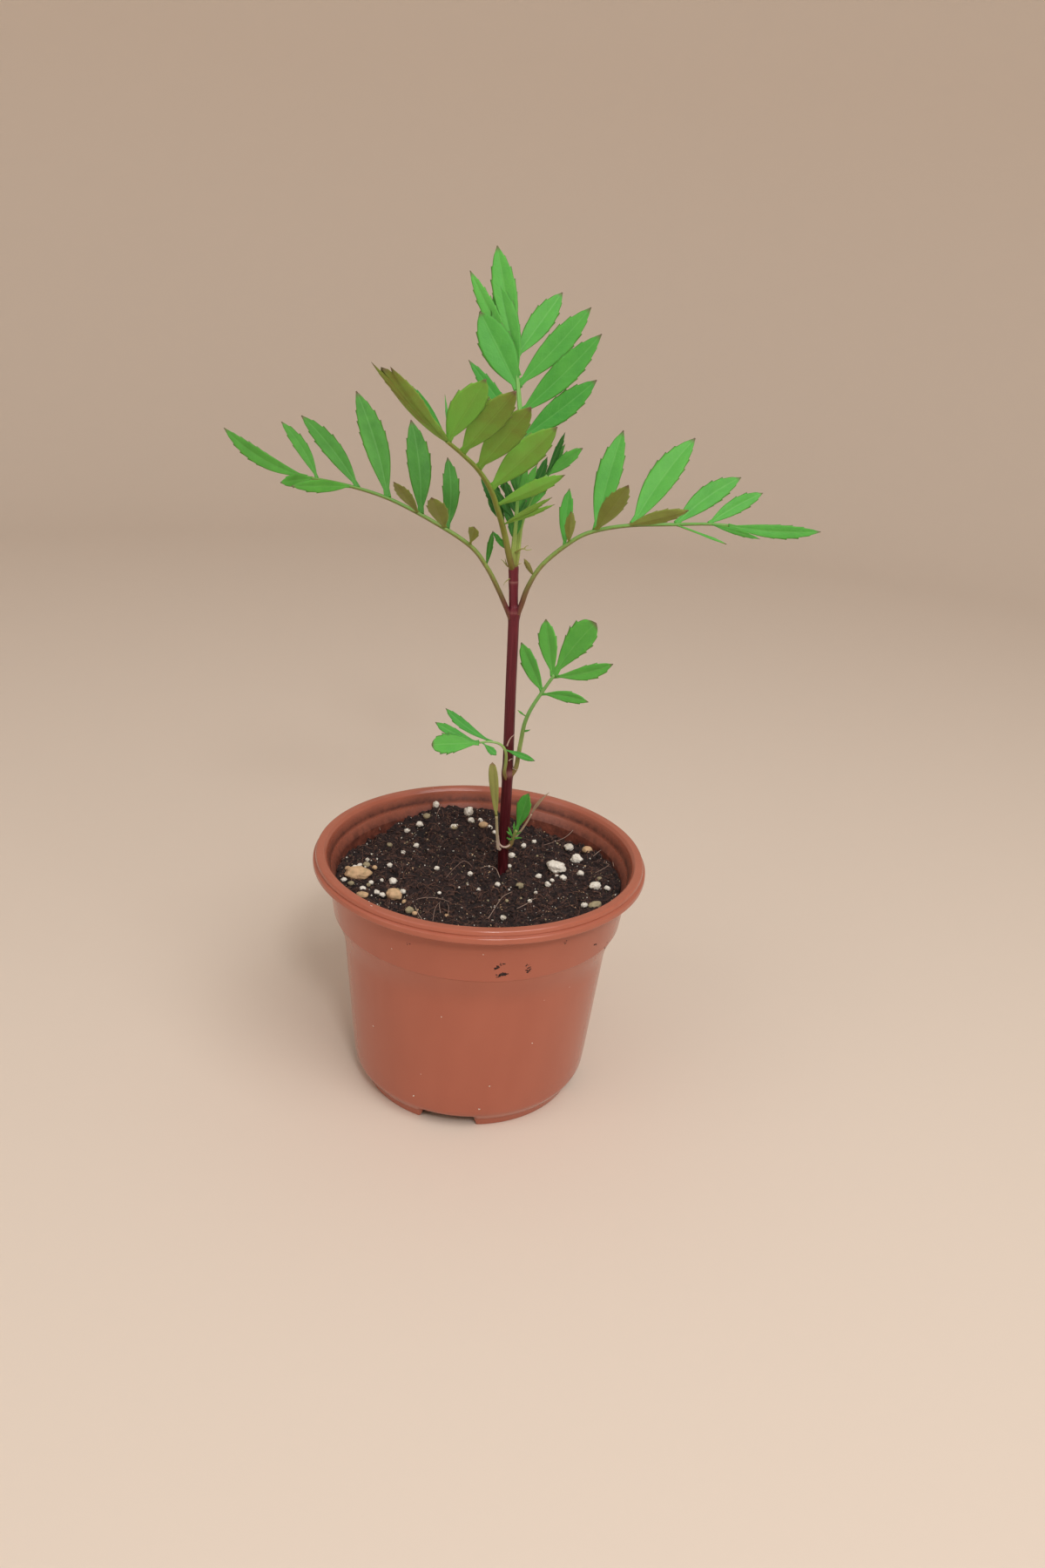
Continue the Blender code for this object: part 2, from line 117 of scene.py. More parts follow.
class Look:
    """The nodes of one material while it is put together. Each method returns what its node puts out."""

    def __init__(self, tree: bpy.types.NodeTree) -> None:
        """Starts with the material's own nodes."""
        self.tree = tree

    @functools.cached_property
    def place(self) -> Socket:
        """The place on the piece."""
        return add_node(self.tree, "TexCoord", {}).outputs["Object"]

    def trait(self, title: str, axis: str) -> Socket:
        """Reads one value of what the mesh notes at each point under a title."""
        note = add_node(self.tree, "Attribute", {}, attribute_name=title)
        return add_node(self.tree, "SeparateXYZ", {0: note.outputs["Vector"]}).outputs[axis]

    def noise(self, size: float, detail: float = 2.0, rough: float = 0.5, rise: float = 1.0) -> Socket:
        """Adds clouds, and returns their strength from 0 to 1.

        Args:
            size: How wide they are, in mm.
            detail: How often finer ones are laid over them.
            rough: How strong the finer ones are.
            rise: Below 1, it draws them out upwards.
        """
        drawn = self.place
        if rise < 1.0:
            drawn = add_node(self.tree, "Mapping", {0: drawn, "Scale": (1.0, 1.0, rise)}).outputs[0]
        inputs = {"Vector": drawn, "Scale": per_mm(size), "Detail": detail, "Roughness": rough}
        return add_node(self.tree, "TexNoise", inputs).outputs["Fac"]

    def cells(self, size: float) -> bpy.types.bpy_prop_collection:
        """Adds cells as many mm wide as `size`, and returns all that they put out."""
        return add_node(self.tree, "TexVoronoi", {"Vector": self.place, "Scale": per_mm(size)}).outputs

    def span(
        self, value: Socket, low: float, high: float, start: float = 0.0, end: float = 1.0, soft: bool = False
    ) -> Socket:
        """Turns a value that runs from `low` to `high` into one from `start` to `end`, and stops there."""
        inputs = {0: value, 1: low, 2: high, 3: start, 4: end}
        kind = "SMOOTHSTEP" if soft else "LINEAR"
        return add_node(self.tree, "MapRange", inputs, interpolation_type=kind).outputs["Result"]

    def maths(self, operation: str, *values: Socket | float) -> Socket:
        """Works out one step of arithmetic."""
        return add_node(self.tree, "Math", dict(enumerate(values)), operation=operation).outputs[0]

    def mix(self, share: Socket, first: Socket | str, second: Socket | str) -> Socket:
        """Mixes two colours by the share of the second."""
        inputs = {MIX_FACTOR: share, MIX_A: first, MIX_B: second}
        return add_node(self.tree, "Mix", inputs, data_type="RGBA").outputs[MIX_RESULT]

    def ramp(self, value: Socket, *stops: tuple[float, str]) -> Socket:
        """Turns a value into a colour by its stops: the two ends first, then those between them."""
        node = add_node(self.tree, "ValToRGB", {"Fac": value})
        elements = node.color_ramp.elements
        for index, (place, code) in enumerate(stops):
            stop = elements[index] if index < 2 else elements.new(place)
            stop.position, stop.color = place, srgb(code)
        return node.outputs["Color"]

    def bump(self, height: Socket, strength: float, depth: float) -> Socket:
        """Raises the surface by a height that is `depth` mm at most."""
        inputs = {"Height": height, "Strength": strength, "Distance": depth * MM}
        return add_node(self.tree, "Bump", inputs).outputs["Normal"]


@dataclass(frozen=True)
class Finish:
    """A surface as it grew or was made, with the material that shows it."""

    name: str
    slot: str

    def material(self) -> bpy.types.Material:
        """Returns the finish's material, which is made the first time."""
        made = bpy.data.materials.get(self.name)
        if made is None:
            made = bpy.data.materials.new(self.name)
            made.use_nodes = True
            tree = made.node_tree
            set_inputs(tree, tree.nodes["Principled BSDF"], self.surface(Look(tree)))
        return made

    def surface(self, look: Look) -> dict:
        """Adds the surface's nodes and returns what the inputs of its Principled BSDF are set to."""
        raise NotImplementedError


def let_light_in(weight: float, radii: Place) -> dict:
    """Returns the shader inputs of flesh that lets light in, by its weight and its reach for each colour."""
    return {"Subsurface Weight": weight, "Subsurface Radius": radii, "Subsurface Scale": 0.6 * MM}


@dataclass(frozen=True)
class MouldedPolypropylene(Finish):
    """Polypropylene, injection moulded.

    An even brown body with a satin shine that draws soft highlights along each edge, a few pale specks, and
    peat stains on the inside, mixed with painted shade under the lip and below the ledge.
    """

    body: str = "#A9604B"
    cloud: str = "#A05844"
    speck: str = "#D8B7A6"
    # Colour of the peat stain inside, which is also the painted shade under the lip and below the ledge.
    peat: str = "#4A261F"

    def surface(self, look: Look) -> dict:
        """Adds faint flow clouds, specks of dust, the stain and painted shade inside and a fine moulding
        texture.
        """
        # The melt flows up the wall, which leaves clouds that are drawn out and hardly seen, 10 mm wide.
        clouds = look.span(look.noise(10, rise=0.35), 0.3, 0.8, end=0.6)
        plastic = look.mix(clouds, self.body, self.cloud)
        # One grain of pale dust in some of the 6 mm cells, drawn 0.3 mm wide so that it shows.
        cells = look.cells(6)
        near = look.span(cells["Distance"], 0.02, 0.04, 0.8, 0.0)
        grain = look.maths("MULTIPLY", near, look.maths("GREATER_THAN", cells["Color"], 0.7))
        dusted = look.mix(grain, plastic, self.speck)
        # Watering splashes peat up the inside: it dries in films and fine dots. The strength that the mesh
        # notes by
        # height also paints shade: darkest under the lip and below the ledge, weaker on the ledge.
        film = look.span(look.noise(2.5, 6.0, 0.7), 0.3, 0.62, 0.45)
        soiled = look.maths("MULTIPLY", film, look.trait("share", "Y"))
        return {
            "Base Color": look.mix(soiled, dusted, self.peat),
            "Roughness": look.span(soiled, 0.0, 1.0, 0.2, 0.5),
            "Normal": look.bump(look.noise(1.2), 0.04, 0.3),
            "IOR": 1.49,
        }


@dataclass(frozen=True)
class FibrousPeat(Finish):
    """Damp peat and bark, sieved.

    Nearly black brown with redder crumbs, matt, with rough relief down to a quarter of a millimetre.
    """

    dark: str = "#140B0B"
    middle: str = "#2B1A19"
    light: str = "#5C3D33"
    crumb: float = 1.1

    def surface(self, look: Look) -> dict:
        """Adds crumbs of several browns, painted shade in the hollows and a coarse bump."""
        crumbs = look.noise(self.crumb, 8.0, 0.75)
        browns = look.ramp(crumbs, (0.38, self.dark), (0.68, self.light), (0.52, self.middle))
        # Painted shade: the hollows between the clods are painted almost black.
        painted_hollow_shade = look.mix(look.trait("share", "Y"), browns, self.dark)
        return {"Base Color": painted_hollow_shade, "Roughness": 0.88, "Normal": look.bump(crumbs, 1.0, 0.8)}


@dataclass(frozen=True)
class GrainStone(Finish):
    """Expanded perlite or weathered grit, as it is quarried.

    A pale matt grain with darker pits and stains of peat.
    """

    pale: str
    stain: str
    pit: float = 0.8

    def surface(self, look: Look) -> dict:
        """Adds pits, stains and a rough relief."""
        pits = look.cells(self.pit)["Distance"]
        soiled = look.span(look.noise(2.2, 5.0, 0.65), 0.5, 0.72, end=0.8)
        dirt = look.maths("MAXIMUM", look.span(pits, 0.1, 0.5, 0.35, 0.0), soiled)
        colour = look.mix(dirt, self.pale, self.stain)
        return {"Base Color": colour, "Roughness": 0.8, "Normal": look.bump(pits, 0.5, 0.3)}


@dataclass(frozen=True)
class RootThread(Finish):
    """Dry roots and plant fibres: thin, matt, from fox brown to straw."""

    dark: str
    light: str

    def surface(self, look: Look) -> dict:
        """Gives each fibre its own brown, which changes a little along it."""
        blend = look.maths("MULTIPLY_ADD", look.noise(3), 0.5, look.trait("share", "Z"))
        return {"Base Color": look.ramp(blend, (0.25, self.dark), (0.8667, self.light)), "Roughness": 0.75}


@dataclass(frozen=True)
class FlushedStemSkin(Finish):
    """Living stem skin, flushed wine red.

    A satin shine on fine ribs, darker near the mix, and paler where leaves have joined or fallen.
    """

    foot: str = "#33090D"
    low: str = "#4A141B"
    middle: str = "#571A23"
    high: str = "#65222C"
    streak: str = "#7C333B"
    scar: str = "#9E726B"

    def surface(self, look: Look) -> dict:
        """Adds the change of red up the stem, long streaks 0.6 mm wide and the pale scars."""
        ends = (0.08, self.foot), (0.95, self.high)
        reds = look.ramp(look.trait("share", "X"), *ends, (0.3, self.low), (0.72, self.middle))
        streaks = look.noise(0.6, 3.0, rise=0.06)
        streaked = look.mix(look.span(streaks, 0.45, 0.75, end=0.35), reds, self.streak)
        return {
            "Base Color": look.mix(look.trait("share", "Y"), streaked, self.scar),
            "Roughness": 0.38,
            "IOR": 1.38,
            "Specular IOR Level": 0.4,
            "Normal": look.bump(streaks, 0.25, 0.2),
        }


@dataclass(frozen=True)
class StalkSkin(Finish):
    """Leaf stalk and midrib skin, grooved.

    It is flushed where it leaves the stem and turns through olive to green along its length.
    """

    foot: str
    stalk: str
    rib: str
    flush: float = 12.0
    # Colour of the painted shade on the stalk's under side.
    painted_under_shade: str = "#7A5A3A"

    def surface(self, look: Look) -> dict:
        """Adds the change of colour along the stalk, in mm from its foot, long streaks and painted shade on
        the under side.
        """
        along = look.span(look.trait("measure", "X"), 0.0, 5 * self.flush)
        greens = look.ramp(along, (0.08, self.foot), (0.85, self.rib), (0.28, self.stalk))
        # The under side is painted darker and browner, in streaks, as painted shade.
        under = look.maths("MULTIPLY_ADD", look.noise(1.8, 4.0, 0.6), 1.2, look.trait("share", "Z"))
        colour = look.mix(look.span(under, 0.9, 1.6, end=0.75), greens, self.painted_under_shade)
        light = let_light_in(0.15, (0.9, 1.2, 0.4))
        return {"Base Color": colour, "Roughness": 0.45, "IOR": 1.42, **light}


@dataclass(frozen=True)
class BladeSkin(Finish):
    """Leaf blade skin.

    Soft green flesh that lets some light through, a paler midrib, side veins that leave it at 40 degrees
    every few mm, and teeth and tip flushed purple brown.
    """

    flesh: str
    shade: str
    vein: str
    rim: str = "#6A4148"
    relief: float = -0.5
    spacing: float = 3.0

    def surface(self, look: Look) -> dict:
        """Adds mottling, veins, the flushed rim and the relief of the veins."""
        aside = look.maths("ABSOLUTE", look.trait("measure", "Y"))
        slant = look.maths("MULTIPLY_ADD", aside, -1.25, look.trait("measure", "X"))
        beat = look.maths("PINGPONG", slant, self.spacing / 2)
        midrib = look.span(aside, 0.04, 0.26, 0.5, 0.0, soft=True)
        veins = look.maths("MAXIMUM", look.span(beat, 0.0, 0.3, 0.12, 0.0, soft=True), midrib)
        age = look.maths("MULTIPLY_ADD", look.noise(5, 4.0, 0.6), 0.9, look.trait("share", "Z"))
        green = look.mix(look.span(age, 0.35, 1.45), self.flesh, self.shade)
        veined = look.mix(look.maths("MULTIPLY", veins, 0.42), green, self.vein)
        toothed = look.span(look.trait("share", "Y"), 0.86, 1.0, end=0.7)
        tip = look.span(look.trait("share", "X"), 0.93, 0.99, end=0.85)
        height = look.maths("MULTIPLY_ADD", veins, self.relief, look.noise(0.7))
        return {
            "Base Color": look.mix(look.maths("MAXIMUM", toothed, tip), veined, self.rim),
            "Roughness": 0.55,
            "IOR": 1.38,
            "Specular IOR Level": 0.35,
            "Normal": look.bump(height, 0.35, 0.25),
            **let_light_in(0.25, (0.7, 1.2, 0.3)),
        }


MIX, LEAF, SEED = "potting_mix", "leaf_tissue", "cotyledon_tissue"

POT_PLASTIC = MouldedPolypropylene("brown_moulded_polypropylene", "nursery_plastic")
PEAT = FibrousPeat("damp_fibrous_peat", MIX)
BARK = FibrousPeat("composted_bark", MIX, "#2A1A17", "#4C322B", "#8A6552", 0.9)
FIBRE = RootThread("dry_root_fibre", MIX, "#2B1B18", "#7A5546")
PALE_FIBRE = RootThread("straw_root_fibre", MIX, "#6E5148", "#B09686")
PERLITE = GrainStone("expanded_perlite", "perlite", "#E4DED2", "#94886F")
TAN_GRIT = GrainStone("weathered_tan_grit", "grit_stone", "#C9A680", "#857A54", 1.8)
GREY_GRIT = GrainStone("weathered_grey_grit", "grit_stone", "#9C8F70", "#5E5545", 1.6)
STEM_SKIN = FlushedStemSkin("flushed_stem_skin", "stem_skin")
THREAD_SKIN = StalkSkin(
    "pale_node_thread_skin", "stem_skin", "#C8AFA0", "#C4B09C", "#C4B49C", painted_under_shade="#9C7A6E"
)

TOP_FRESH = BladeSkin("fresh_blade_upper_skin", LEAF, "#62B04B", "#44923A", "#84BF6C")
TOP_DEEP = BladeSkin("deep_blade_upper_skin", LEAF, "#5AA240", "#346E24", "#72AC5C")
TOP_YOUNG = BladeSkin("young_blade_upper_skin", LEAF, "#5AA544", "#2A6026", "#6F9A55", spacing=2.0)
UNDER_OLIVE = BladeSkin("olive_blade_under_skin", LEAF, "#8EA24A", "#7A7440", "#A0AA5E", relief=0.8)
UNDER_GREEN = BladeSkin("green_blade_under_skin", LEAF, "#76B648", "#7C8238", "#8CBA5A", relief=0.8)
SEED_TOP = BladeSkin("seed_leaf_upper_skin", SEED, "#A09E5C", "#84894C", "#A8A66A", "#8A6157")
SEED_UNDER = BladeSkin("seed_leaf_under_skin", SEED, "#8A8650", "#7B7446", "#9D9660", "#8A6157", 0.6)
WITHERED = BladeSkin("withered_seed_leaf_skin", SEED, "#B9A084", "#9A7A64", "#C6B096", "#4A3230", 1.0)


# ------------------------------------------------------------------------------------------- mesh making


class Trait(NamedTuple):
    """What the finishes read at a point of a plant piece."""

    along: float = 0.0  # mm from the foot of the blade or stalk
    across: float = 0.0  # mm from its middle line
    place: float = 0.0  # share of the length
    edge: float = 0.0  # 1 at a tooth's point or on a scar
    tone: float = 0.0  # 0 to 1, each blade's or fibre's own


@functools.lru_cache(maxsize=None)
def round_form(subdivisions: int) -> tuple[tuple[Vector, ...], tuple[tuple[int, ...], ...]]:
    """Returns the directions and triangles of an icosphere, from which grains are shaped."""
    shape = bmesh.new()
    bmesh.ops.create_icosphere(shape, subdivisions=subdivisions, radius=1.0)
    ways = tuple(vertex.co.copy() for vertex in shape.verts)
    faces = tuple(tuple(vertex.index for vertex in face.verts) for face in shape.faces)
    shape.free()
    return ways, faces


def add_object(name: str, data: bpy.types.ID) -> bpy.types.Object:
    """Adds an object to the scene."""
    obj = bpy.data.objects.new(name, data)
    bpy.context.scene.collection.objects.link(obj)
    return obj


def share_of(value: float, low: float, high: float) -> float:
    """Returns how far a value has come from `low` to `high`, from 0 to 1."""
    return max(0.0, min(1.0, (value - low) / (high - low)))


def eased(share: float) -> float:
    """Returns a share that starts and ends gently."""
    return share * share * (3 - 2 * share)


def seldom_big(chance: random.Random, usual: float, spread: float, most: float) -> float:
    """Returns a random size that is the usual one or more, and `most` at most."""
    return min(usual * math.exp(abs(chance.gauss(0.0, spread))), most)


def any_way(chance: random.Random) -> Euler:
    """Returns a random way to lie."""
    return Euler([chance.uniform(0.0, math.tau) for _ in range(3)])


def around(radius: float, angle: float, level: float) -> Vector:
    """Returns the place at a distance and an angle from the pot's axis, at a height."""
    return Vector((radius * math.cos(angle), radius * math.sin(angle), level))


class PieceMesh:
    """One piece's mesh while it is made, in mm from the pot's axis."""

    def __init__(self) -> None:
        """Starts with no points."""
        self.points: list[Vector] = []
        self.traits: list[Trait] = []
        self.faces: list[tuple[int, ...]] = []
        self.skins: list[int] = []

    def add(self, point: Vector, trait: Trait = Trait()) -> int:
        """Adds a point with what the finishes read there, and returns its number."""
        self.points.append(Vector(point))
        self.traits.append(trait)
        return len(self.points) - 1

    def face(self, corners: Sequence[int], skin: int = 0) -> None:
        """Adds a face with the given corners and finish number."""
        self.faces.append(tuple(corners))
        self.skins.append(skin)

    def cover(self, rows: Sequence[Sequence[int]], skin: int = 0, flip: bool = False) -> None:
        """Joins each row of points to the next with faces.

        Args:
            rows: Rows of point numbers, all equally long. A closed ring repeats its first point.
            skin: Which of the piece's finishes the faces have.
            flip: Whether the faces look the other way.
        """
        for low, high in zip(rows, rows[1:]):
            for a, b, c, d in zip(low, low[1:], high[1:], high):
                corners = list(dict.fromkeys((a, b, c, d)))
                if len(corners) > 2:
                    self.face(corners[::-1] if flip else corners, skin)

    def cap(
        self, ring: Sequence[int], centre: Vector, trait: Trait, skin: int = 0, flip: bool = False
    ) -> None:
        """Closes a ring, which repeats its first point, with a fan round `centre`."""
        middle = self.add(centre, trait)
        for a, b in zip(ring, ring[1:]):
            self.face((a, middle, b) if flip else (a, b, middle), skin)

    def lathe(
        self,
        outline: Sequence[tuple[float, float]],
        segments: int,
        shape: Callable[[int, float], tuple[float, Trait]] = lambda index, angle: (0.0, Trait()),
        flip: bool = False,
    ) -> None:
        """Turns an outline about the pot's axis.

        Args:
            outline: Radius and height of each ring. A radius of 0 is one point.
            segments: How many points each ring has.
            shape: Gives how far a ring's point is raised at an angle, and what the finishes read there.
            flip: Whether the faces look the other way.
        """
        rings = []
        for index, (radius, level) in enumerate(outline):
            ring = []
            for segment in range(segments if radius else 1):
                angle = math.tau * segment / segments
                rise, trait = shape(index, angle)
                ring.append(self.add(around(radius, angle, level + rise), trait))
            rings.append([*ring, ring[0]] if radius else ring * (segments + 1))
        self.cover(rings, flip=flip)

    def grain(
        self,
        centre: Vector,
        halves: Place,
        turn: Euler,
        chance: random.Random,
        rough: float,
        detail: int,
        skin: int = 0,
    ) -> None:
        """Adds an irregular closed grain.

        Args:
            centre: Its middle.
            halves: Its half sizes before it is turned.
            turn: How it lies.
            chance: Gives it its own shape and tone.
            rough: How far its surface strays, as a share of its size.
            detail: Icosphere subdivisions.
            skin: Which of the piece's finishes it has.
        """
        ways, faces = round_form(detail)
        shift = Vector([chance.uniform(-50, 50) for _ in range(3)])
        matrix, tone = turn.to_matrix(), chance.random()
        first = len(self.points)
        for way in ways:
            size = 1.0 + rough * noise.noise(way * 1.3 + shift) + 0.5 * rough * noise.noise(way * 3.4 + shift)
            self.add(centre + matrix @ Vector(w * h * size for w, h in zip(way, halves)), Trait(tone=tone))
        for corners in faces:
            self.face([first + corner for corner in corners], skin)

    def rod(
        self, points: Sequence[Vector], radii: Sequence[float], tone: float, skin: int = 0, sides: int = 5
    ) -> None:
        """Adds a thin closed rod.

        Args:
            points: The points that it follows.
            radii: Its radius at each.
            tone: Its tone, from 0 to 1.
            skin: Which of the piece's finishes it has.
            sides: How many sides it has.
        """
        rings, reach, aside = [], 0.0, Vector((0.31, 0.17, 0.93))
        for index, (point, radius) in enumerate(zip(points, radii)):
            before, after = points[max(index - 1, 0)], points[min(index + 1, len(points) - 1)]
            along = (after - before).normalized()
            aside = (aside - along * aside.dot(along)).normalized()
            other = along.cross(aside)
            reach += (point - before).length
            trait = Trait(along=reach, place=index / (len(points) - 1), tone=tone)
            ring = []
            for side in range(sides):
                angle = math.tau * side / sides
                way = math.cos(angle) * aside + math.sin(angle) * other
                ring.append(self.add(point + radius * way, trait))
            rings.append([*ring, ring[0]])
        self.cover(rings, skin)
        self.cap(rings[0], points[0], Trait(tone=tone), skin, flip=True)
        self.cap(rings[-1], points[-1], Trait(along=reach, place=1.0, tone=tone), skin)

    def piece(
        self, name: str, finishes: Sequence[Finish], nodes: Sequence[str] = (), smooth: bool = True
    ) -> bpy.types.Object:
        """Adds the piece to the scene, ties it to the frame and returns it.

        Args:
            name: The piece's name.
            finishes: Its finishes, in the order of their numbers.
            nodes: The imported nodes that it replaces.
            smooth: Whether its faces are shaded as one surface.
        """
        obj = add_object(name, self.data(name, finishes, smooth))
        seat(obj, nodes)
        return obj

    def data(self, name: str, finishes: Sequence[Finish], smooth: bool = True) -> bpy.types.Mesh:
        """Returns the mesh in metres, with its finishes and with what they read."""
        mesh = bpy.data.meshes.new(name)
        mesh.from_pydata([point * MM for point in self.points], [], self.faces)
        mesh.polygons.foreach_set("material_index", self.skins)
        mesh.polygons.foreach_set("use_smooth", [smooth] * len(self.faces))
        notes = {
            "measure": [value for t in self.traits for value in (t.along, t.across, 0.0)],
            "share": [value for t in self.traits for value in (t.place, t.edge, t.tone)],
        }
        for title, values in notes.items():
            mesh.attributes.new(title, "FLOAT_VECTOR", "POINT").data.foreach_set("vector", values)
        for finish in finishes:
            mesh.materials.append(finish.material())
        return mesh


def pot_axis() -> Vector:
    """Returns where the pot's axis meets the ground, in metres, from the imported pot's box."""
    low, high = (Vector(corner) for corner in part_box("pot"))
    return Vector(((low.x + high.x) / 2, (low.y + high.y) / 2, 0.0))


def seat(obj: bpy.types.Object, nodes: Sequence[str]) -> None:
    """Sets a piece on the pot's axis and ties it to the frame.

    Args:
        obj: The piece.
        nodes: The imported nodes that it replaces.
    """
    obj.location = pot_axis()
    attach(obj, BODY)
    if nodes:
        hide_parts(*nodes)
    triangles = sum(len(polygon.vertices) - 2 for polygon in obj.data.polygons)
    LOG.info("%s: %d triangles, stands for %s", obj.name, triangles, ", ".join(nodes) or "nothing packed")


# --------------------------------------------------------------------------------------------------- pot


@dataclass
class NurseryPot:
    """The moulded pot: beaded lip, conical collar, shoulder, tapering body, four feet and a drained floor."""

    segments: int = 288
    lip_radius: float = 52.5
    height: float = 80.0
    floor: float = 6.2
    floor_underside: float = 5.0
    foot_radius: float = 34.9
    notches: int = 4
    notch_turn: float = -99.0
    notch_width: float = 17.0
    notch_height: float = 4.7
    notch_slope: float = 1.8
    drains: int = 8
    drain_radius: float = 3.0
    drain_circle: float = 26.0
    drain_depth: float = 4.0
    lip_depth: float = 4.3  # how far below the rim the lip ends inside
    ledge_depth: float = 7.7  # and the ledge below it
    fillet_steps: int = 6

    def corners(self) -> list[tuple[float, float, float]]:
        """Returns the radius, height and fillet of each corner, up inside, over the lip and down outside."""
        lip, top = self.lip_radius, self.height
        inside = [
            (0.0, self.floor, 0.0), (37.1, self.floor, 3.0), (41.1, 52.2, 5.0), (44.3, 60.4, 3.0),
            (45.5, top - 7.8, 0.6), (46.9, top - 4.9, 0.5), (47.2, top - 3.9, 0.4), (48.3, top - 0.9, 0.7),
            (49.1, top, 0.6),
        ]
        beads = [
            (lip - 1.0, top, 0.9), (lip - 0.75, top - 1.3, 0.35), (lip - 1.0, top - 1.75, 0.12),
            (lip - 0.05, top - 2.1, 0.6), (lip, top - 3.7, 0.8), (lip - 0.5, top - 4.1, 0.3),
            (50.3, top - 4.1, 0.3),
        ]
        outside = [
            (48.0, top - 4.7, 0.5), (46.0, 60.2, 0.25), (45.6, 59.7, 0.2), (42.5, 51.8, 28.0),
            (39.1, 12.5, 12.0), (38.4, 6.4, 5.0), (36.5, 3.5, 1.0), (35.7, 3.2, 0.3),
            (self.foot_radius, 0.0, 0.4),
        ]
        sole = [
            (33.0, 0.0, 0.3), (32.4, self.floor_underside, 0.4), (0.0, self.floor_underside, 0.0),
        ]
        return inside + beads + outside + sole

    def outline(self) -> list[tuple[float, float]]:
        """Rounds each corner by its fillet, and returns the radius and height of each point."""
        corners = self.corners()
        points = [corners[0][:2]]
        for before, (radius, height, fillet), after in zip(corners, corners[1:], corners[2:]):
            here = Vector((radius, height))
            back = Vector(before[:2]) - here
            ahead = Vector(after[:2]) - here
            reach = fillet / math.tan(max(back.angle(ahead), 0.2) / 2)
            reach = min(reach, 0.48 * back.length, 0.48 * ahead.length)
            start, end = here + back.normalized() * reach, here + ahead.normalized() * reach
            for step in range(self.fillet_steps + 1):
                share = step / self.fillet_steps
                bend = start.lerp(here, share).lerp(here.lerp(end, share), share)
                points.append((bend.x, bend.y))
        points.append(corners[-1][:2])
        return points

    def notch_lift(self, angle: float) -> float:
        """Returns how far the sole is raised at an angle, to leave feet between the notches."""
        step = math.tau / self.notches
        away = abs((angle - math.radians(self.notch_turn) + step / 2) % step - step / 2) * self.foot_radius
        rise = (self.notch_width / 2 + self.notch_slope / 2 - away) / self.notch_slope
        return self.notch_height * eased(share_of(rise, 0.0, 1.0))

    def peat_stain_and_shade(self, height: float) -> float:
        """Returns how much peat stain and painted shade darken the inside at a height: most under the lip and
        below the ledge.
        """
        below = self.height - height
        # Painted shade: full under the lip, weak on the ledge, nearly full again below it.
        if below < self.lip_depth:
            return share_of(below, 1.0, 1.6)
        return 0.3 if below < self.ledge_depth else 0.95

    def turned(self) -> PieceMesh:
        """Turns the outline about the axis and raises the sole at the notches."""
        mesh = PieceMesh()
        outline = self.outline()
        lip = max(range(len(outline)), key=lambda index: outline[index][1])

        def lift(index: int, angle: float) -> tuple[float, Trait]:
            """Raises the part of the outside that is below the floor, most at the sole."""
            height = outline[index][1]
            if index <= lip or height >= self.floor_underside:
                return 0.0, Trait()
            return self.notch_lift(angle) * (1.0 - height / self.floor_underside), Trait()

        mesh.lathe(outline, self.segments, lift)
        return mesh

    def drain_cutter(self) -> bpy.types.Object:
        """Makes the cores of all the drain holes, which cut them and are then deleted."""
        mesh = bpy.data.meshes.new("drain_cores")
        shape = bmesh.new()
        radius, depth = self.drain_radius * MM, self.drain_depth * MM
        middle = (self.floor + self.floor_underside) / 2
        for index in range(self.drains):
            centre = around(self.drain_circle, math.tau * index / self.drains, middle) * MM
            place = Matrix.Translation(centre)
            bmesh.ops.create_cone(
                shape, cap_ends=True, segments=32, radius1=radius, radius2=radius, depth=depth, matrix=place
            )
        shape.to_mesh(mesh)
        shape.free()
        return add_object("drain_cores", mesh)

    def build(self) -> None:
        """Builds the pot with its drain holes cut."""
        pot = self.turned().piece("nursery_pot", [POT_PLASTIC], ["pot"])
        cutter = self.drain_cutter()
        cutter.location = pot.location
        cut = pot.modifiers.new("drains", "BOOLEAN")
        cut.operation, cut.solver, cut.object = "DIFFERENCE", "EXACT", cutter
        bpy.context.view_layer.update()
        drained = bpy.data.meshes.new_from_object(pot.evaluated_get(bpy.context.evaluated_depsgraph_get()))
        pot.modifiers.clear()
        pot.data = drained
        bpy.data.objects.remove(cutter)
        self.stain(drained)

    def stain(self, mesh: bpy.types.Mesh) -> None:
        """Notes on each point that faces the inside how much peat stain and painted shade darken it."""
        shares = []
        for vertex in mesh.vertices:
            outward = vertex.co.x * vertex.normal.x + vertex.co.y * vertex.normal.y
            shares.extend((0.0, self.peat_stain_and_shade(vertex.co.z / MM) if outward < 0.0 else 0.0, 0.0))
        mesh.attributes["share"].data.foreach_set("vector", shares)


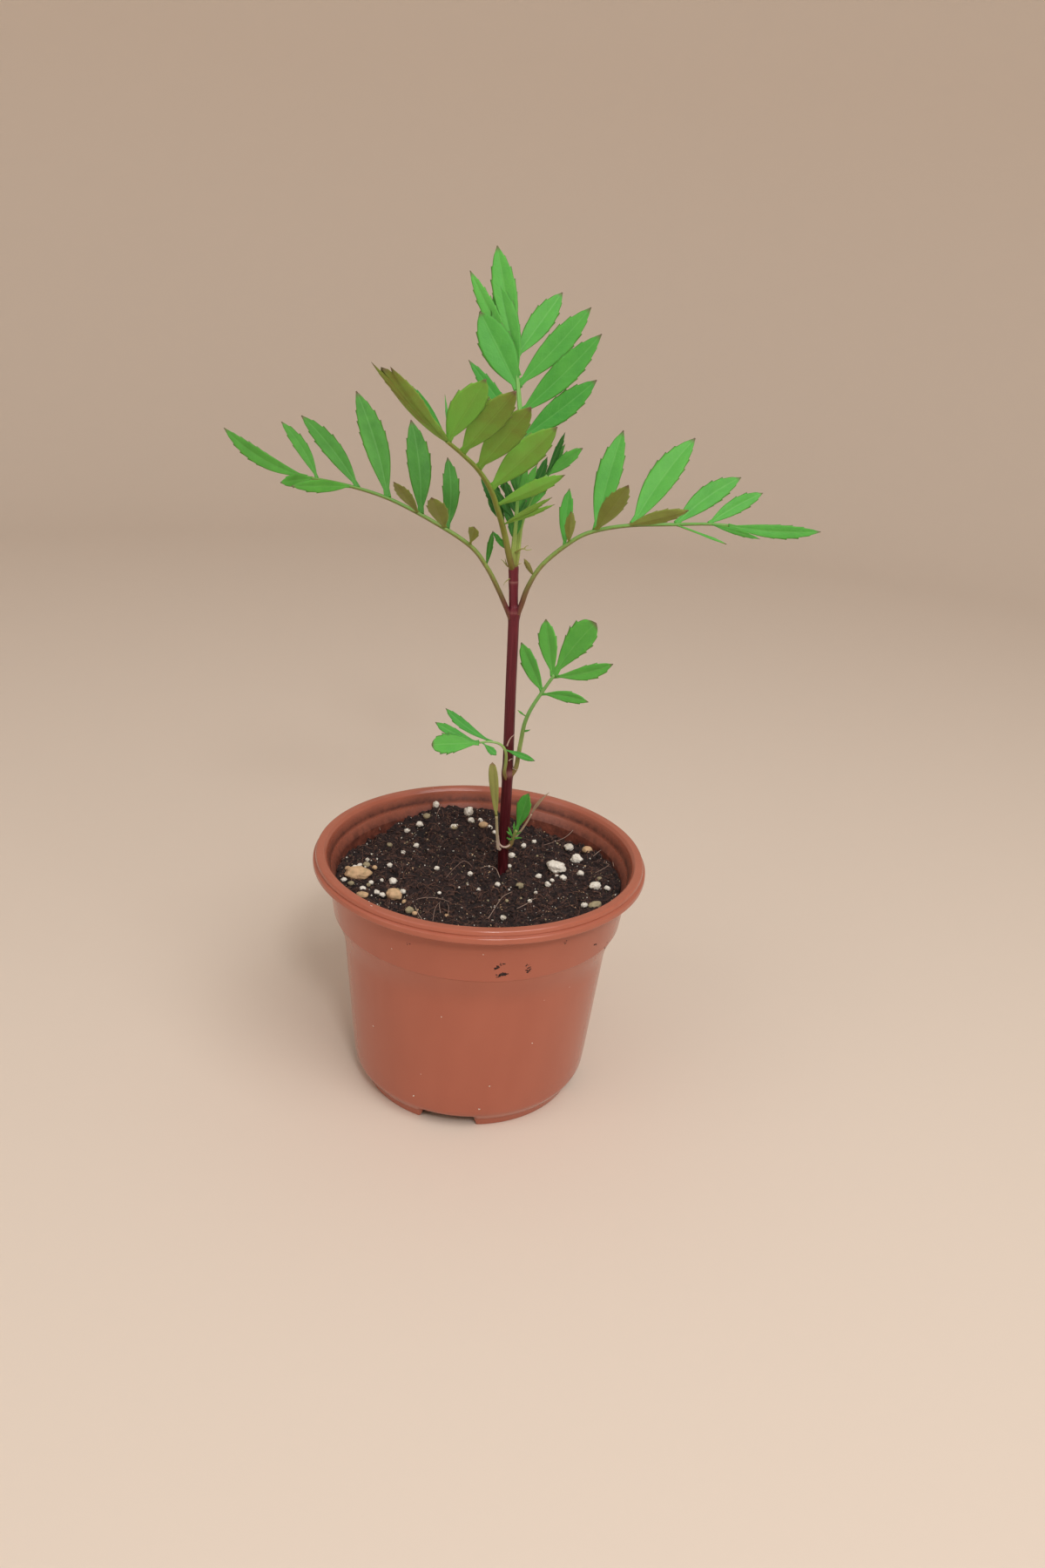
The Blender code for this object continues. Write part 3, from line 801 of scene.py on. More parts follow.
@dataclass
class PotDirt:
    """Crumbs of peat and specks of grit that stick to the outside of the pot."""

    crumbs: int = 5  # in each smudge
    # Angle from the front towards the right in degrees, height and half size.
    smudges: tuple[Place, ...] = (
        (8.0, 65.0, 0.6), (9.0, 65.7, 0.45), (10.0, 66.2, 0.5), (9.0, 62.3, 0.65), (10.6, 62.6, 0.8),
        (12.0, 62.9, 0.5), (19.4, 65.6, 0.35), (20.0, 64.2, 0.4), (19.6, 63.2, 0.4), (50.5, 65.2, 0.4),
        (59.0, 60.6, 0.25), (60.2, 59.8, 0.3), (61.0, 61.4, 0.25), (-24.0, 69.8, 0.25), (33.0, 71.0, 0.25),
    )
    # Specks of pale grit, given in the same way.
    specks: tuple[Place, ...] = (
        (-36.5, 79.9, 0.35), (10.2, 18.4, 0.25), (-24.8, 10.5, 0.3), (6.4, 9.2, 0.3), (-12.0, 44.0, 0.2),
        (28.0, 33.0, 0.2), (-48.0, 30.0, 0.25), (3.0, 70.0, 0.2), (-31.0, 66.0, 0.2),
    )
    # Height and radius of the outer wall.
    profile: tuple[tuple[float, float], ...] = (
        (7.4, 38.7), (51.8, 42.5), (59.9, 45.9), (75.3, 48.0), (78.0, 52.4), (80.0, 50.4),
    )

    def wall(self, height: float) -> float:
        """Returns the outer wall's radius at a height."""
        for (low, start), (high, end) in zip(self.profile, self.profile[1:]):
            if height <= high:
                return start + (end - start) * (height - low) / (high - low)
        return self.profile[-1][1]

    def stick(self, mesh: PieceMesh, mark: Place, chance: random.Random, skin: int) -> None:
        """Sticks one flat grain on the wall, at the angle and height of its mark and as big as it says."""
        angle, level, size = mark
        turn = math.radians(angle - 90.0)
        centre = around(self.wall(level) + 0.02, turn, level)
        lie = Euler((chance.uniform(-0.6, 0.6), 0.0, turn))
        mesh.grain(centre, (0.25 * size, size, 0.6 * size), lie, chance, 0.9, 2, skin)

    def build(self) -> None:
        """Builds the smudges and specks as one piece."""
        mesh, chance = PieceMesh(), random.Random(11)
        for angle, height, half in self.smudges:
            for _ in range(self.crumbs):
                mark = (angle + chance.uniform(-0.8, 0.8), height + chance.uniform(-0.5, 0.5))
                self.stick(mesh, (*mark, half * chance.uniform(0.4, 1.0)), chance, 0)
        for mark in self.specks:
            self.stick(mesh, mark, chance, 1)
        mesh.piece("pot_dirt_specks", [PEAT, PERLITE])


# ------------------------------------------------------------------------------------------- potting mix


class GrainKind(NamedTuple):
    """What a grain on the mix is."""

    title: str
    finish: GrainStone
    rough: float  # how far its surface strays, as a share of its size
    share: int  # how much of the dust is of this kind


PALE = GrainKind("perlite", PERLITE, 0.36, 5)
TAN = GrainKind("tan_grit", TAN_GRIT, 0.2, 3)
GREY = GrainKind("grey_grit", GREY_GRIT, 0.2, 4)
KINDS = (PALE, TAN, GREY)


@dataclass(frozen=True)
class Grain:
    """A grain that lies where it can be seen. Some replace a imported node."""

    x: float
    y: float
    halves: Place
    kind: GrainKind = PALE
    node: str = ""


@dataclass
class PottingMix:
    """The mix in the pot, with its crumbs, bark, fibres and grains."""

    radius: float = 46.0
    level: float = 70.0
    dish: float = 1.4  # how far it rises towards the wall
    wave: float = 0.7
    rings: int = 104
    segments: int = 540
    crumbs: int = 5200
    flakes: int = 520
    fibres: int = 800
    dust: int = 1100
    short_step: float = 0.6  # between the points of a short fibre
    long_radius: float = 0.085
    long_points: int = 18
    root_radius: float = 0.12
    root_points: int = 20

    # Width and height in mm of the lumps, bits and clods of its top.
    LUMP, BIT, CLOD = (2.2, 1.5), (1.0, 0.8), (4.5, 1.4)

    # Radius and height of the plug that fills the pot below its top.
    PLUG = ((0.0, 5.7), (35.0, 5.7), (37.7, 10.3), (41.6, 52.6), (44.8, 60.8))

    # Rise of the mix at the wall, by angle from the right towards the back: it is heaped behind the plant.
    EDGE = (
        (0.0, 0.0), (30.0, -1.0), (50.0, -3.0), (70.0, -1.5), (90.0, 2.2), (110.0, 3.0), (125.0, 0.0),
        (140.0, -2.5), (160.0, -2.5), (180.0, -1.0), (270.0, 0.0), (360.0, 0.0),
    )

    GRAINS = (
        Grain(-38.2, -5.8, (4.1, 2.6, 2.1), TAN, "stone_1"),
        Grain(-25.6, -17.8, (2.4, 2.0, 1.8), TAN, "stone_2"),
        Grain(24.8, 6.5, (3.0, 2.2, 1.7), PALE, "perlite_1"),
        Grain(32.0, 15.0, (1.8, 1.7, 1.5), PALE, "perlite_2"),
        Grain(36.8, -5.8, (1.8, 1.5, 1.3), PALE, "perlite_3"),
        Grain(-5.0, 40.3, (1.5, 1.5, 1.9), PALE, "perlite_4"), Grain(-35.1, -19.2, (1.9, 1.4, 1.0), TAN),
        Grain(36.0, 21.5, (1.7, 1.5, 1.2), TAN), Grain(36.0, -18.0, (2.1, 1.5, 1.1), GREY),
        Grain(0.4, 34.2, (1.6, 1.2, 1.1), TAN), Grain(-20.2, -26.5, (1.4, 1.2, 1.0), GREY),
        Grain(13.0, -6.5, (1.3, 1.1, 1.0), GREY), Grain(-19.4, 36.4, (1.3, 1.1, 1.0), GREY),
        Grain(-36.4, 2.6, (1.2, 1.0, 0.9), GREY), Grain(-42.0, -0.5, (0.9, 0.8, 0.7), TAN),
        Grain(-33.5, 0.5, (0.9, 0.7, 0.7), TAN), Grain(-39.5, -12.0, (1.0, 0.8, 0.7), GREY),
        Grain(-34.0, -12.5, (0.7, 0.7, 0.6), GREY), Grain(-25.0, -13.0, (0.8, 0.7, 0.6), GREY),
        Grain(-22.0, -21.0, (0.9, 0.8, 0.7), TAN), Grain(-18.5, -28.0, (0.8, 0.7, 0.7), TAN),
        Grain(-9.5, 32.0, (1.2, 0.8, 0.8), GREY), Grain(-30.5, 19.0, (1.0, 0.8, 0.7), GREY),
        Grain(38.5, -1.0, (0.8, 0.7, 0.6), GREY), Grain(18.0, -10.0, (0.6, 0.5, 0.5)),
        Grain(23.5, 0.5, (0.8, 0.7, 0.6)), Grain(25.0, 3.0, (0.6, 0.6, 0.5)),
        Grain(9.0, -15.5, (0.6, 0.5, 0.5), GREY), Grain(-9.0, -28.5, (0.7, 0.6, 0.5), TAN),
        Grain(-16.6, 42.2, (1.2, 1.0, 1.2)), Grain(-21.5, 32.0, (1.2, 1.0, 1.0)),
        Grain(-25.6, 29.0, (1.0, 0.8, 0.8)), Grain(-9.8, 32.3, (1.1, 1.0, 0.9)),
        Grain(-4.0, 37.2, (1.1, 1.0, 1.0)), Grain(-0.7, 36.9, (0.9, 0.8, 0.8)),
        Grain(2.7, 33.2, (1.0, 0.8, 0.8)), Grain(4.5, 31.0, (0.8, 0.8, 0.7)),
        Grain(-21.5, 18.0, (1.0, 0.8, 0.8)), Grain(10.4, 15.2, (1.2, 0.9, 0.8)),
        Grain(14.5, 22.5, (0.9, 0.8, 0.8)), Grain(18.0, 26.4, (0.8, 0.7, 0.7)),
        Grain(29.8, 23.0, (1.6, 1.3, 1.2)), Grain(32.6, 2.0, (1.2, 1.0, 0.9)),
        Grain(19.1, 3.0, (1.0, 0.9, 0.8)), Grain(27.0, 0.9, (1.1, 0.9, 0.9)),
        Grain(-2.9, 0.5, (0.9, 0.7, 0.7)), Grain(-13.8, 4.2, (0.9, 0.7, 0.7)),
        Grain(32.8, -17.2, (1.1, 0.9, 0.8)), Grain(40.6, -6.5, (1.0, 0.8, 0.8)),
        Grain(-39.7, 0.8, (1.2, 1.0, 0.8)), Grain(-38.5, 2.8, (0.8, 0.7, 0.7)),
        Grain(-36.5, 6.0, (0.7, 0.7, 0.6)), Grain(-28.7, 1.0, (0.9, 0.7, 0.7)),
        Grain(-26.9, -8.2, (1.3, 1.0, 1.0)), Grain(-25.5, 13.5, (0.8, 0.7, 0.7)),
        Grain(-42.0, -9.5, (1.0, 0.8, 0.7)), Grain(-35.4, -15.6, (1.0, 0.9, 0.8)),
        Grain(-31.0, -16.4, (0.9, 0.8, 0.7)), Grain(-29.2, -17.3, (1.0, 0.8, 0.7)),
        Grain(-23.2, -13.6, (0.9, 0.8, 0.7)), Grain(-33.4, -10.4, (0.8, 0.7, 0.6)),
        Grain(-30.4, -7.6, (0.6, 0.5, 0.5)), Grain(6.0, -6.0, (0.9, 0.8, 0.7)),
        Grain(8.0, -27.0, (0.9, 0.8, 0.8)), Grain(0.0, -10.0, (0.7, 0.6, 0.6)),
        Grain(9.5, 8.0, (0.9, 0.9, 0.6)), Grain(22.0, -3.0, (1.0, 0.9, 0.8)),
        Grain(16.0, -16.0, (0.7, 0.6, 0.6)), Grain(-12.0, -14.0, (0.6, 0.6, 0.5)),
    )

    # Fibres that stand out: points on the mix and how high they arch.
    LONG_FIBRES = (
        (((-21.4, -22.7), (-18.2, -20.0), (-14.8, -19.0), (-11.4, -18.8), (-7.9, -19.4)), 1.0),
        (((3.3, -28.0), (5.4, -22.0), (7.9, -14.5), (10.6, -9.2)), 1.6),
        (((-19.1, -22.5), (-17.6, -28.1), (-16.0, -30.8)), 0.8),
        (((-12.9, -31.0), (-12.6, -26.4), (-11.1, -19.2)), 0.9),
        (((-10.5, -29.6), (-11.4, -23.9), (-11.3, -19.2)), 0.7),
        (((-8.5, -29.4), (-8.6, -24.8), (-9.3, -20.1)), 0.9),
        (((0.1, 3.7), (2.6, 3.8), (5.1, 1.7), (6.6, -2.1)), 1.1),
        (((-11.0, -3.6), (-7.8, 4.1), (-4.9, 7.8), (-1.7, 3.5)), 1.0),
        (((12.0, -21.2), (15.2, -19.1), (18.2, -13.3)), 0.9),
        (((-16.0, 43.5), (-14.7, 41.0), (-16.1, 37.0)), 1.8),
        (((37.8, 18.2), (41.3, 21.0), (43.4, 16.5), (44.0, 10.0)), 1.6),
        (((37.5, 3.7), (40.1, 6.0), (42.3, 9.1), (40.6, 12.9)), 1.2),
    )

    # Roots that climb the inner wall: points as places.
    WALL_ROOTS = (
        ((21.0, 24.0, 70.9), (25.0, 27.5, 70.8), (29.2, 31.0, 71.4), (32.4, 34.2, 73.6), (33.4, 35.0, 75.0)),
        ((-34.6, 28.0, 71.2), (-35.4, 30.0, 72.4), (-36.0, 31.0, 75.0), (-35.3, 33.4, 78.6)),
    )

    def height(self, x: float, y: float) -> float:
        """Returns the level of the mix at a place, without its crumbs."""
        reach = math.hypot(x, y)
        rise = self.dish * share_of(reach, 20.0, 44.0) ** 1.5
        swell = math.sin(0.21 * x + 0.6) * math.cos(0.17 * y) + 0.5 * math.sin(0.33 * y + 0.2 * x)
        angle = math.degrees(math.atan2(y, x)) % 360.0
        heap = self.edge_rise(angle) * share_of(reach, 30.0, 44.0)
        return self.level + rise + self.wave * swell * min(1.0, (self.radius - reach) / 8.0) + heap

    def edge_rise(self, angle: float) -> float:
        """Returns how far the mix is heaped at the wall, at an angle in degrees."""
        for (start, low), (end, high) in zip(self.EDGE, self.EDGE[1:]):
            if angle <= end:
                return low + (high - low) * eased(share_of(angle, start, end))
        return 0.0

    def crumbled(self, x: float, y: float) -> float:
        """Returns the height of the crumbs at a place, from about -0.9 to 1.3 mm."""
        spot = Vector((x, y, 0.0))
        lumps = 0.75 - noise.voronoi(spot / self.LUMP[0])[0][0] ** 0.5
        bits = 0.6 - noise.voronoi(spot / self.BIT[0] + Vector((9.0, 4.0, 2.0)))[0][0] ** 0.5
        clods = noise.fractal(spot / self.CLOD[0], 1.0, 2.0, 4)
        return self.LUMP[1] * lumps + self.BIT[1] * bits + self.CLOD[1] * clods

    def bed(self) -> None:
        """Builds the body of the mix: a crumbly top on a plug that fills the pot."""
        top = [(self.radius * step / self.rings, 0.0) for step in range(self.rings, -1, -1)]
        outline = [*self.PLUG, *top]

        def surface(index: int, angle: float) -> tuple[float, Trait]:
            """Raises the top to its crumbs, and notes how much painted shade darkens the hollows between
            them.
            """
            radius = outline[index][0]
            if index < len(self.PLUG):
                return 0.0, Trait()
            x, y = radius * math.cos(angle), radius * math.sin(angle)
            rough = self.crumbled(x, y)
            # Painted shade: the lower the spot between the crumbs, the darker it is painted.
            painted_hollow_shade = min(max(0.1 - 0.8 * rough, 0.0), 0.9) if radius else 0.0
            return self.height(x, y) + rough, Trait(edge=painted_hollow_shade)

        mesh = PieceMesh()
        mesh.lathe(outline, self.segments, surface)
        mesh.piece("peat_bed", [PEAT], ["potting_mix"])

    def top(self, x: float, y: float, above: float) -> Vector:
        """Returns the place that lies `above` mm above the crumbs."""
        return Vector((x, y, self.height(x, y) + self.crumbled(x, y) + above))

    def spot(self, chance: random.Random, margin: float = 1.0) -> tuple[float, float]:
        """Returns a random place on the mix, at least `margin` mm from the pot's wall."""
        reach, angle = (self.radius - margin) * math.sqrt(chance.random()), chance.uniform(0.0, math.tau)
        return reach * math.cos(angle), reach * math.sin(angle)

    def loose_crumbs(self) -> None:
        """Scatters crumbs of peat and flakes of bark, as one piece."""
        mesh, chance = PieceMesh(), random.Random(3)
        for _ in range(self.crumbs):
            x, y = self.spot(chance)
            size = seldom_big(chance, 0.2, 0.7, 1.1)
            halves = (size, size * chance.uniform(0.6, 1.0), size * chance.uniform(0.5, 0.9))
            lie = any_way(chance)
            skin = int(chance.random() < 0.3)
            mesh.grain(self.top(x, y, 0.3 * size), halves, lie, chance, 0.8, 1, skin)
        for _ in range(self.flakes):
            x, y = self.spot(chance, 2.5)
            length = chance.uniform(0.5, 2.2)
            halves = (length, length * chance.uniform(0.14, 0.35), 0.16)
            lie = Euler((chance.uniform(-0.5, 0.5), chance.uniform(-0.4, 0.4), chance.uniform(0.0, math.tau)))
            mesh.grain(self.top(x, y, 0.2), halves, lie, chance, 0.7, 1, skin=1)
        mesh.piece("peat_crumbs", [PEAT, BARK], smooth=False)

    def wander(self, chance: random.Random) -> list[Vector]:
        """Returns the points of a short curling fibre that lies on the mix."""
        x, y = self.spot(chance, 2.5)
        heading, curl = chance.uniform(0.0, math.tau), chance.gauss(0.0, 0.2)
        count, arch, points = chance.randint(5, 11), chance.uniform(0.1, 1.1), []
        for index in range(count):
            lift = arch * math.sin(math.pi * index / (count - 1))
            points.append(Vector((x, y, self.height(x, y) + 0.6 * self.crumbled(x, y) + 0.45 + lift)))
            heading += curl + chance.gauss(0.0, 0.16)
            x, y = x + self.short_step * math.cos(heading), y + self.short_step * math.sin(heading)
            if math.hypot(x, y) > self.radius - 1.0:
                break
        return points

    def threads(self) -> None:
        """Builds the short fibres, the long ones that stand out and the roots on the wall, as one piece."""
        mesh, chance = PieceMesh(), random.Random(7)
        for _ in range(self.fibres):
            points = self.wander(chance)
            if len(points) > 3:
                radius = chance.uniform(0.035, 0.08)
                taper = [radius * (1.0 - 0.6 * index / len(points)) for index in range(len(points))]
                mesh.rod(points, taper, chance.random(), sides=4)
        count = self.long_points
        for places, arch in self.LONG_FIBRES:
            ends = [(x, y, self.height(x, y) + 0.5) for x, y in places]
            points = GrowthLine(ends, (0.0, 0.0, 1.0)).spaced(count)
            for index, point in enumerate(points):
                point.z += arch * math.sin(math.pi * index / (count - 1))
            mesh.rod(points, [self.long_radius] * count, chance.uniform(0.2, 0.9), skin=1)
        for places in self.WALL_ROOTS:
            line = GrowthLine(places, (0.0, -1.0, 0.3))
            mesh.rod(line.spaced(self.root_points), [self.root_radius] * self.root_points, 0.3, skin=1)
        mesh.piece("peat_fibres", [FIBRE, PALE_FIBRE])

    def grains(self) -> None:
        """Builds the grains: each packed one as its own piece, and the loose ones together by kind."""
        chance, loose = random.Random(5), {kind: PieceMesh() for kind in KINDS}
        for grain in self.GRAINS:
            mesh = PieceMesh() if grain.node else loose[grain.kind]
            centre = Vector((grain.x, grain.y, self.height(grain.x, grain.y) + 0.75 * grain.halves[2] + 0.3))
            lie = Euler((chance.uniform(-0.15, 0.15), chance.uniform(-0.15, 0.15), chance.uniform(-0.4, 0.4)))
            mesh.grain(centre, grain.halves, lie, chance, grain.kind.rough, 4 if grain.node else 3)
            if grain.node:
                mesh.piece(f"{grain.kind.title}_{grain.node}", [grain.kind.finish], [grain.node])
        for _ in range(self.dust):
            x, y = self.spot(chance)
            size = seldom_big(chance, 0.1, 0.6, 0.45)
            lie = any_way(chance)
            kind = chance.choices(KINDS, [kind.share for kind in KINDS])[0]
            centre = self.top(x, y, 0.4 * size + 0.1)
            loose[kind].grain(centre, (size, size, 0.8 * size), lie, chance, 0.6, 1)
        for kind, mesh in loose.items():
            mesh.piece(f"loose_{kind.title}", [kind.finish])

    def build(self) -> None:
        """Builds the bed and everything on it."""
        self.bed()
        self.loose_crumbs()
        self.threads()
        self.grains()


# ----------------------------------------------------------------------------------------------- plant


class GrowthLine:
    """A smooth line through a few points, with a frame at each distance along it."""

    STEPS = 12

    def __init__(self, points: Sequence[Place], upper: Place) -> None:
        """Draws the line through the points. The upper side of what grows on it faces `upper`."""
        knots = [Vector(point) for point in points]
        knots = [2 * knots[0] - knots[1], *knots, 2 * knots[-1] - knots[-2]]
        self.line: list[Vector] = []
        for a, b, c, d in zip(knots, knots[1:], knots[2:], knots[3:]):
            for step in range(self.STEPS):
                t = step / self.STEPS
                bend = 2 * b + (c - a) * t + (2 * a - 5 * b + 4 * c - d) * t**2
                self.line.append(0.5 * (bend + (3 * b - a - 3 * c + d) * t**3))
        self.line.append(knots[-2])
        self.upper = Vector(upper)
        self.reach = [0.0]
        for start, end in zip(self.line, self.line[1:]):
            self.reach.append(self.reach[-1] + (end - start).length)

    @property
    def length(self) -> float:
        """The line's whole length."""
        return self.reach[-1]

    def point(self, distance: float) -> Vector:
        """Returns the point at a distance along the line."""
        distance = min(max(distance, 0.0), self.length)
        for index in range(1, len(self.line)):
            if distance <= self.reach[index]:
                share = (distance - self.reach[index - 1]) / (self.reach[index] - self.reach[index - 1])
                return self.line[index - 1].lerp(self.line[index], share)
        return self.line[-1].copy()

    def spaced(self, count: int) -> list[Vector]:
        """Returns evenly spaced points along the whole line."""
        return [self.point(self.length * step / (count - 1)) for step in range(count)]

    def frame(self, distance: float) -> tuple[Vector, Vector, Vector, Vector]:
        """Returns the point, the direction, the upper side and the way across, at a distance."""
        along = (self.point(distance + 1.0) - self.point(distance - 1.0)).normalized()
        upper = (self.upper - along * self.upper.dot(along)).normalized()
        return self.point(distance), along, upper, along.cross(upper)


def grow_stalk(
    mesh: PieceMesh,
    line: GrowthLine,
    radius: Callable[[float], float],
    section: Callable[[float], float],
    sides: int,
    pitch: float,
    mark: Callable[[float], float] = lambda distance: 0.0,
) -> None:
    """Grows a closed stalk along a line.

    Args:
        mesh: The piece that it is part of.
        line: The line that it follows.
        radius: Its radius at a distance along it.
        section: What its radius is times at an angle from the way across towards the upper side.
        sides: How many sides it has.
        pitch: The distance between its rings.
        mark: How much of a scar there is at a distance.
    """
    count = round(line.length / pitch)
    rings = []
    for index in range(count + 1):
        place = index / count
        distance = place * line.length
        point, _, upper, cross = line.frame(distance)
        ring = []
        for side in range(sides):
            angle = math.tau * side / sides
            reach = radius(distance) * section(angle)
            # The tone is 1 on the under side and 0 on the upper side; stalk skins paint the under side's
            # shade by it.
            trait = Trait(distance, reach * angle, place, mark(distance), 0.5 - 0.5 * math.sin(angle))
            way = math.cos(angle) * cross + math.sin(angle) * upper
            ring.append(mesh.add(point + reach * way, trait))
        rings.append([*ring, ring[0]])
    mesh.cover(rings, flip=True)
    mesh.cap(rings[0], line.point(0.0), Trait())
    mesh.cap(rings[-1], line.point(line.length), Trait(line.length, 0.0, 1.0), flip=True)


@dataclass(frozen=True)
class Margin:
    """How a blade's edge runs."""

    teeth: int = 0  # on each side
    pitch: float = 0.0  # or how far apart they are, in mm
    end: float = 0.93  # share of the length where they end
    depth: float = 1.0  # how deep they are, where 1 is a sawn edge's
    lean: float = 1.2  # how far they lean towards the tip
    blunt: float = 0.86  # the smaller, the fuller the blade is at its ends
    flush: float = 0.8  # how flushed the edge is between them


SAWN = Margin(pitch=6.5)  # small teeth
COARSE = Margin(teeth=4, end=0.97, depth=1.9, lean=1.6, blunt=0.55)  # few big teeth round a blunt end
ENTIRE = Margin(flush=1.0)
OBLONG = Margin(blunt=0.36)  # even width and a round end


@dataclass(frozen=True)
class Leaflet:
    """One blade of a leaf. Lengths are mm and angles degrees."""

    place: float  # share of the midrib's length, 0 to 1
    side: int
    length: float
    width: float
    spread: float  # angle from the midrib
    lift: float = 0.0  # rise out of the leaf's plane
    bow: float = 0.0  # how far the middle lies off the straight line, in the blade's plane
    sag: float = 0.0  # and out of it
    turn: float = 0.0  # roll about its own length
    belly: float = 0.54  # share of the length where it is widest
    margin: Margin = SAWN
    fold: float = 0.2  # how far its halves fold up from the midrib
    tone: float = 0.5  # 0 is palest and 1 darkest
    fade: float = 0.0  # how much darker its tip is than its foot

    STEPS_PER_TOOTH = 6
    TEETH_START = 0.42  # share of the length
    DEEPEST_TOOTH = 0.36
    PLAIN_ROWS = 24
    THICKNESS = 0.3
    MIDRIB = 0.2
    FOOT, TIP = 0.3, 0.045  # the narrowest that these are, as shares of the width
    COLUMNS = (-1.0, -0.82, -0.46, -0.14, 0.0, 0.14, 0.46, 0.82, 1.0)
    UPPER_SKIN, UNDER_SKIN = 1, 2  # their places in the leaf's dress

    def layout(self) -> tuple[int, int, int]:
        """Returns how many rows long the blade is, and at which row its teeth start and end."""
        teeth, pitch = self.margin.teeth, self.margin.pitch
        if pitch:
            teeth = max(2, round(self.length / pitch))
        toothed = self.margin.end - self.TEETH_START
        rows = round(self.STEPS_PER_TOOTH * teeth / toothed) if teeth else self.PLAIN_ROWS
        first = round(self.TEETH_START * rows)
        return rows, first, first + self.STEPS_PER_TOOTH * teeth

    def half_width(self, place: float) -> float:
        """Returns half the blade's width at a share of its length, without teeth."""
        power = math.log(0.5) / math.log(self.belly)
        swell = max(0.0, math.sin(math.pi * min(place, 1.0) ** power)) ** self.margin.blunt
        return self.width / 2 * max(swell, self.FOOT * (1.0 - place) ** 2, self.TIP)

    def tooth(self, row: int, rows: int, shift: int) -> float:
        """Returns how far a tooth has grown at a row of the toothed edge, from 0 to 1."""
        step = ((row + shift) % self.STEPS_PER_TOOTH) / (self.STEPS_PER_TOOTH - 1)
        return step * math.sin(math.pi * (row + 1) / (rows + 1)) ** 0.4

    def stance(self, line: GrowthLine) -> tuple[Vector, Vector, Vector, Vector]:
        """Returns the blade's foot on the midrib, its direction, the way across and its upper side."""
        base, along, upper, cross = line.frame(self.place * line.length)
        spread, lift = math.radians(self.spread), math.radians(self.lift)
        outward = math.cos(lift) * self.side * cross + math.sin(lift) * upper
        way = math.cos(spread) * along + math.sin(spread) * outward
        face = (-self.side * along.cross(outward)).normalized()
        face.rotate(Matrix.Rotation(math.radians(self.turn), 3, way))
        return base, way, way.cross(face), face

    def grow(self, mesh: PieceMesh, line: GrowthLine, tone: float) -> None:
        """Grows the blade as a thin closed sheet with teeth, a fold and a raised midrib below.

        Args:
            mesh: The leaf that it is part of.
            line: The leaf's midrib.
            tone: The blade's own tone, from 0 to 1.
        """
        base, way, aside, face = self.stance(line)
        rows, first, last = self.layout()
        depth = min(self.DEEPEST_TOOTH, 0.08 * self.width) * self.margin.depth
        lean = 0.9 * self.length / rows * self.margin.lean
        tops, unders = [], []
        for row in range(rows + 1):
            place = row / rows
            bend = 4 * place * (1 - place)
            middle = base + way * self.length * place + aside * self.bow * bend + face * self.sag * bend
            half = self.half_width(place)
            top_row, under_row = [], []
            for column in self.COLUMNS:
                edge, forward, reach = abs(column) * self.margin.flush, 0.0, half * column
                if abs(column) == 1.0 and first <= row < last:
                    grown = self.tooth(row - first, last - first, 0 if column < 0 else 2)
                    reach = math.copysign(half * 0.98 + depth * grown**2.2, column)
                    forward = lean * grown**2
                    edge = 0.8 + 0.2 * grown
                ripple = math.sin(9.0 * place + 6.0 * tone + 2.0 * column)
                rise = self.fold * abs(reach) + 0.1 * abs(column) * ripple
                spot = middle + way * forward + aside * reach + face * rise
                age = tone + self.fade * (place - 0.5)
                trait = Trait(place * self.length, reach, place, edge * min(1.0, place / 0.2), age)
                if abs(column) == 1.0 or row in (0, rows):
                    number = mesh.add(spot, trait)
                    top_row.append(number)
                    under_row.append(number)
                    continue
                body = self.THICKNESS / 2 * (1.0 - column**4)
                keel = self.MIDRIB * (1.0 - 0.8 * place) if column == 0.0 else 0.0
                top_row.append(mesh.add(spot + face * (body - 0.4 * keel), trait))
                under_row.append(mesh.add(spot - face * (body + keel), trait))
            tops.append(top_row)
            unders.append(under_row)
        mesh.cover(tops, self.UPPER_SKIN, flip=True)
        mesh.cover(unders, self.UNDER_SKIN)


# The skins of a leaf's stalk and midrib, and of its blades above and below.
LeafDress = tuple[StalkSkin, BladeSkin, BladeSkin]


def dress(
    name: str, skins: tuple[BladeSkin, BladeSkin], foot: str, stalk: str, rib: str, flush: float, painted_under_shade: str,
    slot: str = LEAF,
) -> LeafDress:
    """Returns a leaf's finishes: its stalk's and midrib's skin, and its blades' upper and under skins.

    Args:
        name: What its stalk's skin is called after.
        skins: Its blades' upper and under skins.
        foot: Its stalk's colour at the stem.
        stalk: Its stalk's colour further on.
        rib: The colour of its midrib.
        flush: How far the colour at the stem reaches, in mm.
        painted_under_shade: The colour of the painted shade on its stalk's under side.
        slot: The record's slot of the stalk's skin.
    """
    return StalkSkin(f"{name}_stalk_skin", slot, foot, stalk, rib, flush, painted_under_shade), *skins


DEEP_ON_OLIVE, FRESH_ON_OLIVE, FRESH_ON_GREEN = (
    (TOP_DEEP, UNDER_OLIVE), (TOP_FRESH, UNDER_OLIVE), (TOP_FRESH, UNDER_GREEN),
)
LEFT_DRESS = dress("left", DEEP_ON_OLIVE, "#5C2229", "#7E9448", "#62923E", 12.0, "#7A5A3A")
RIGHT_DRESS = dress("right", FRESH_ON_OLIVE, "#5C2229", "#7E984C", "#68A04A", 12.0, "#7A5A3A")
BACK_DRESS = dress("back", FRESH_ON_GREEN, "#8A9A4C", "#80A650", "#70AA50", 9.0, "#7C9448")
FRONT_DRESS = dress("front", FRESH_ON_GREEN, "#6E4A36", "#7C903A", "#7C9E42", 9.0, "#7E7A34")
YOUNG_DRESS = dress("young", (TOP_YOUNG, TOP_YOUNG), "#8A8A48", "#98AA58", "#6A9A48", 5.0, "#8A8848")
LOWER_DRESS = dress("lower", FRESH_ON_GREEN, "#8C7048", "#8E9C58", "#76AC5C", 6.0, "#86704C")
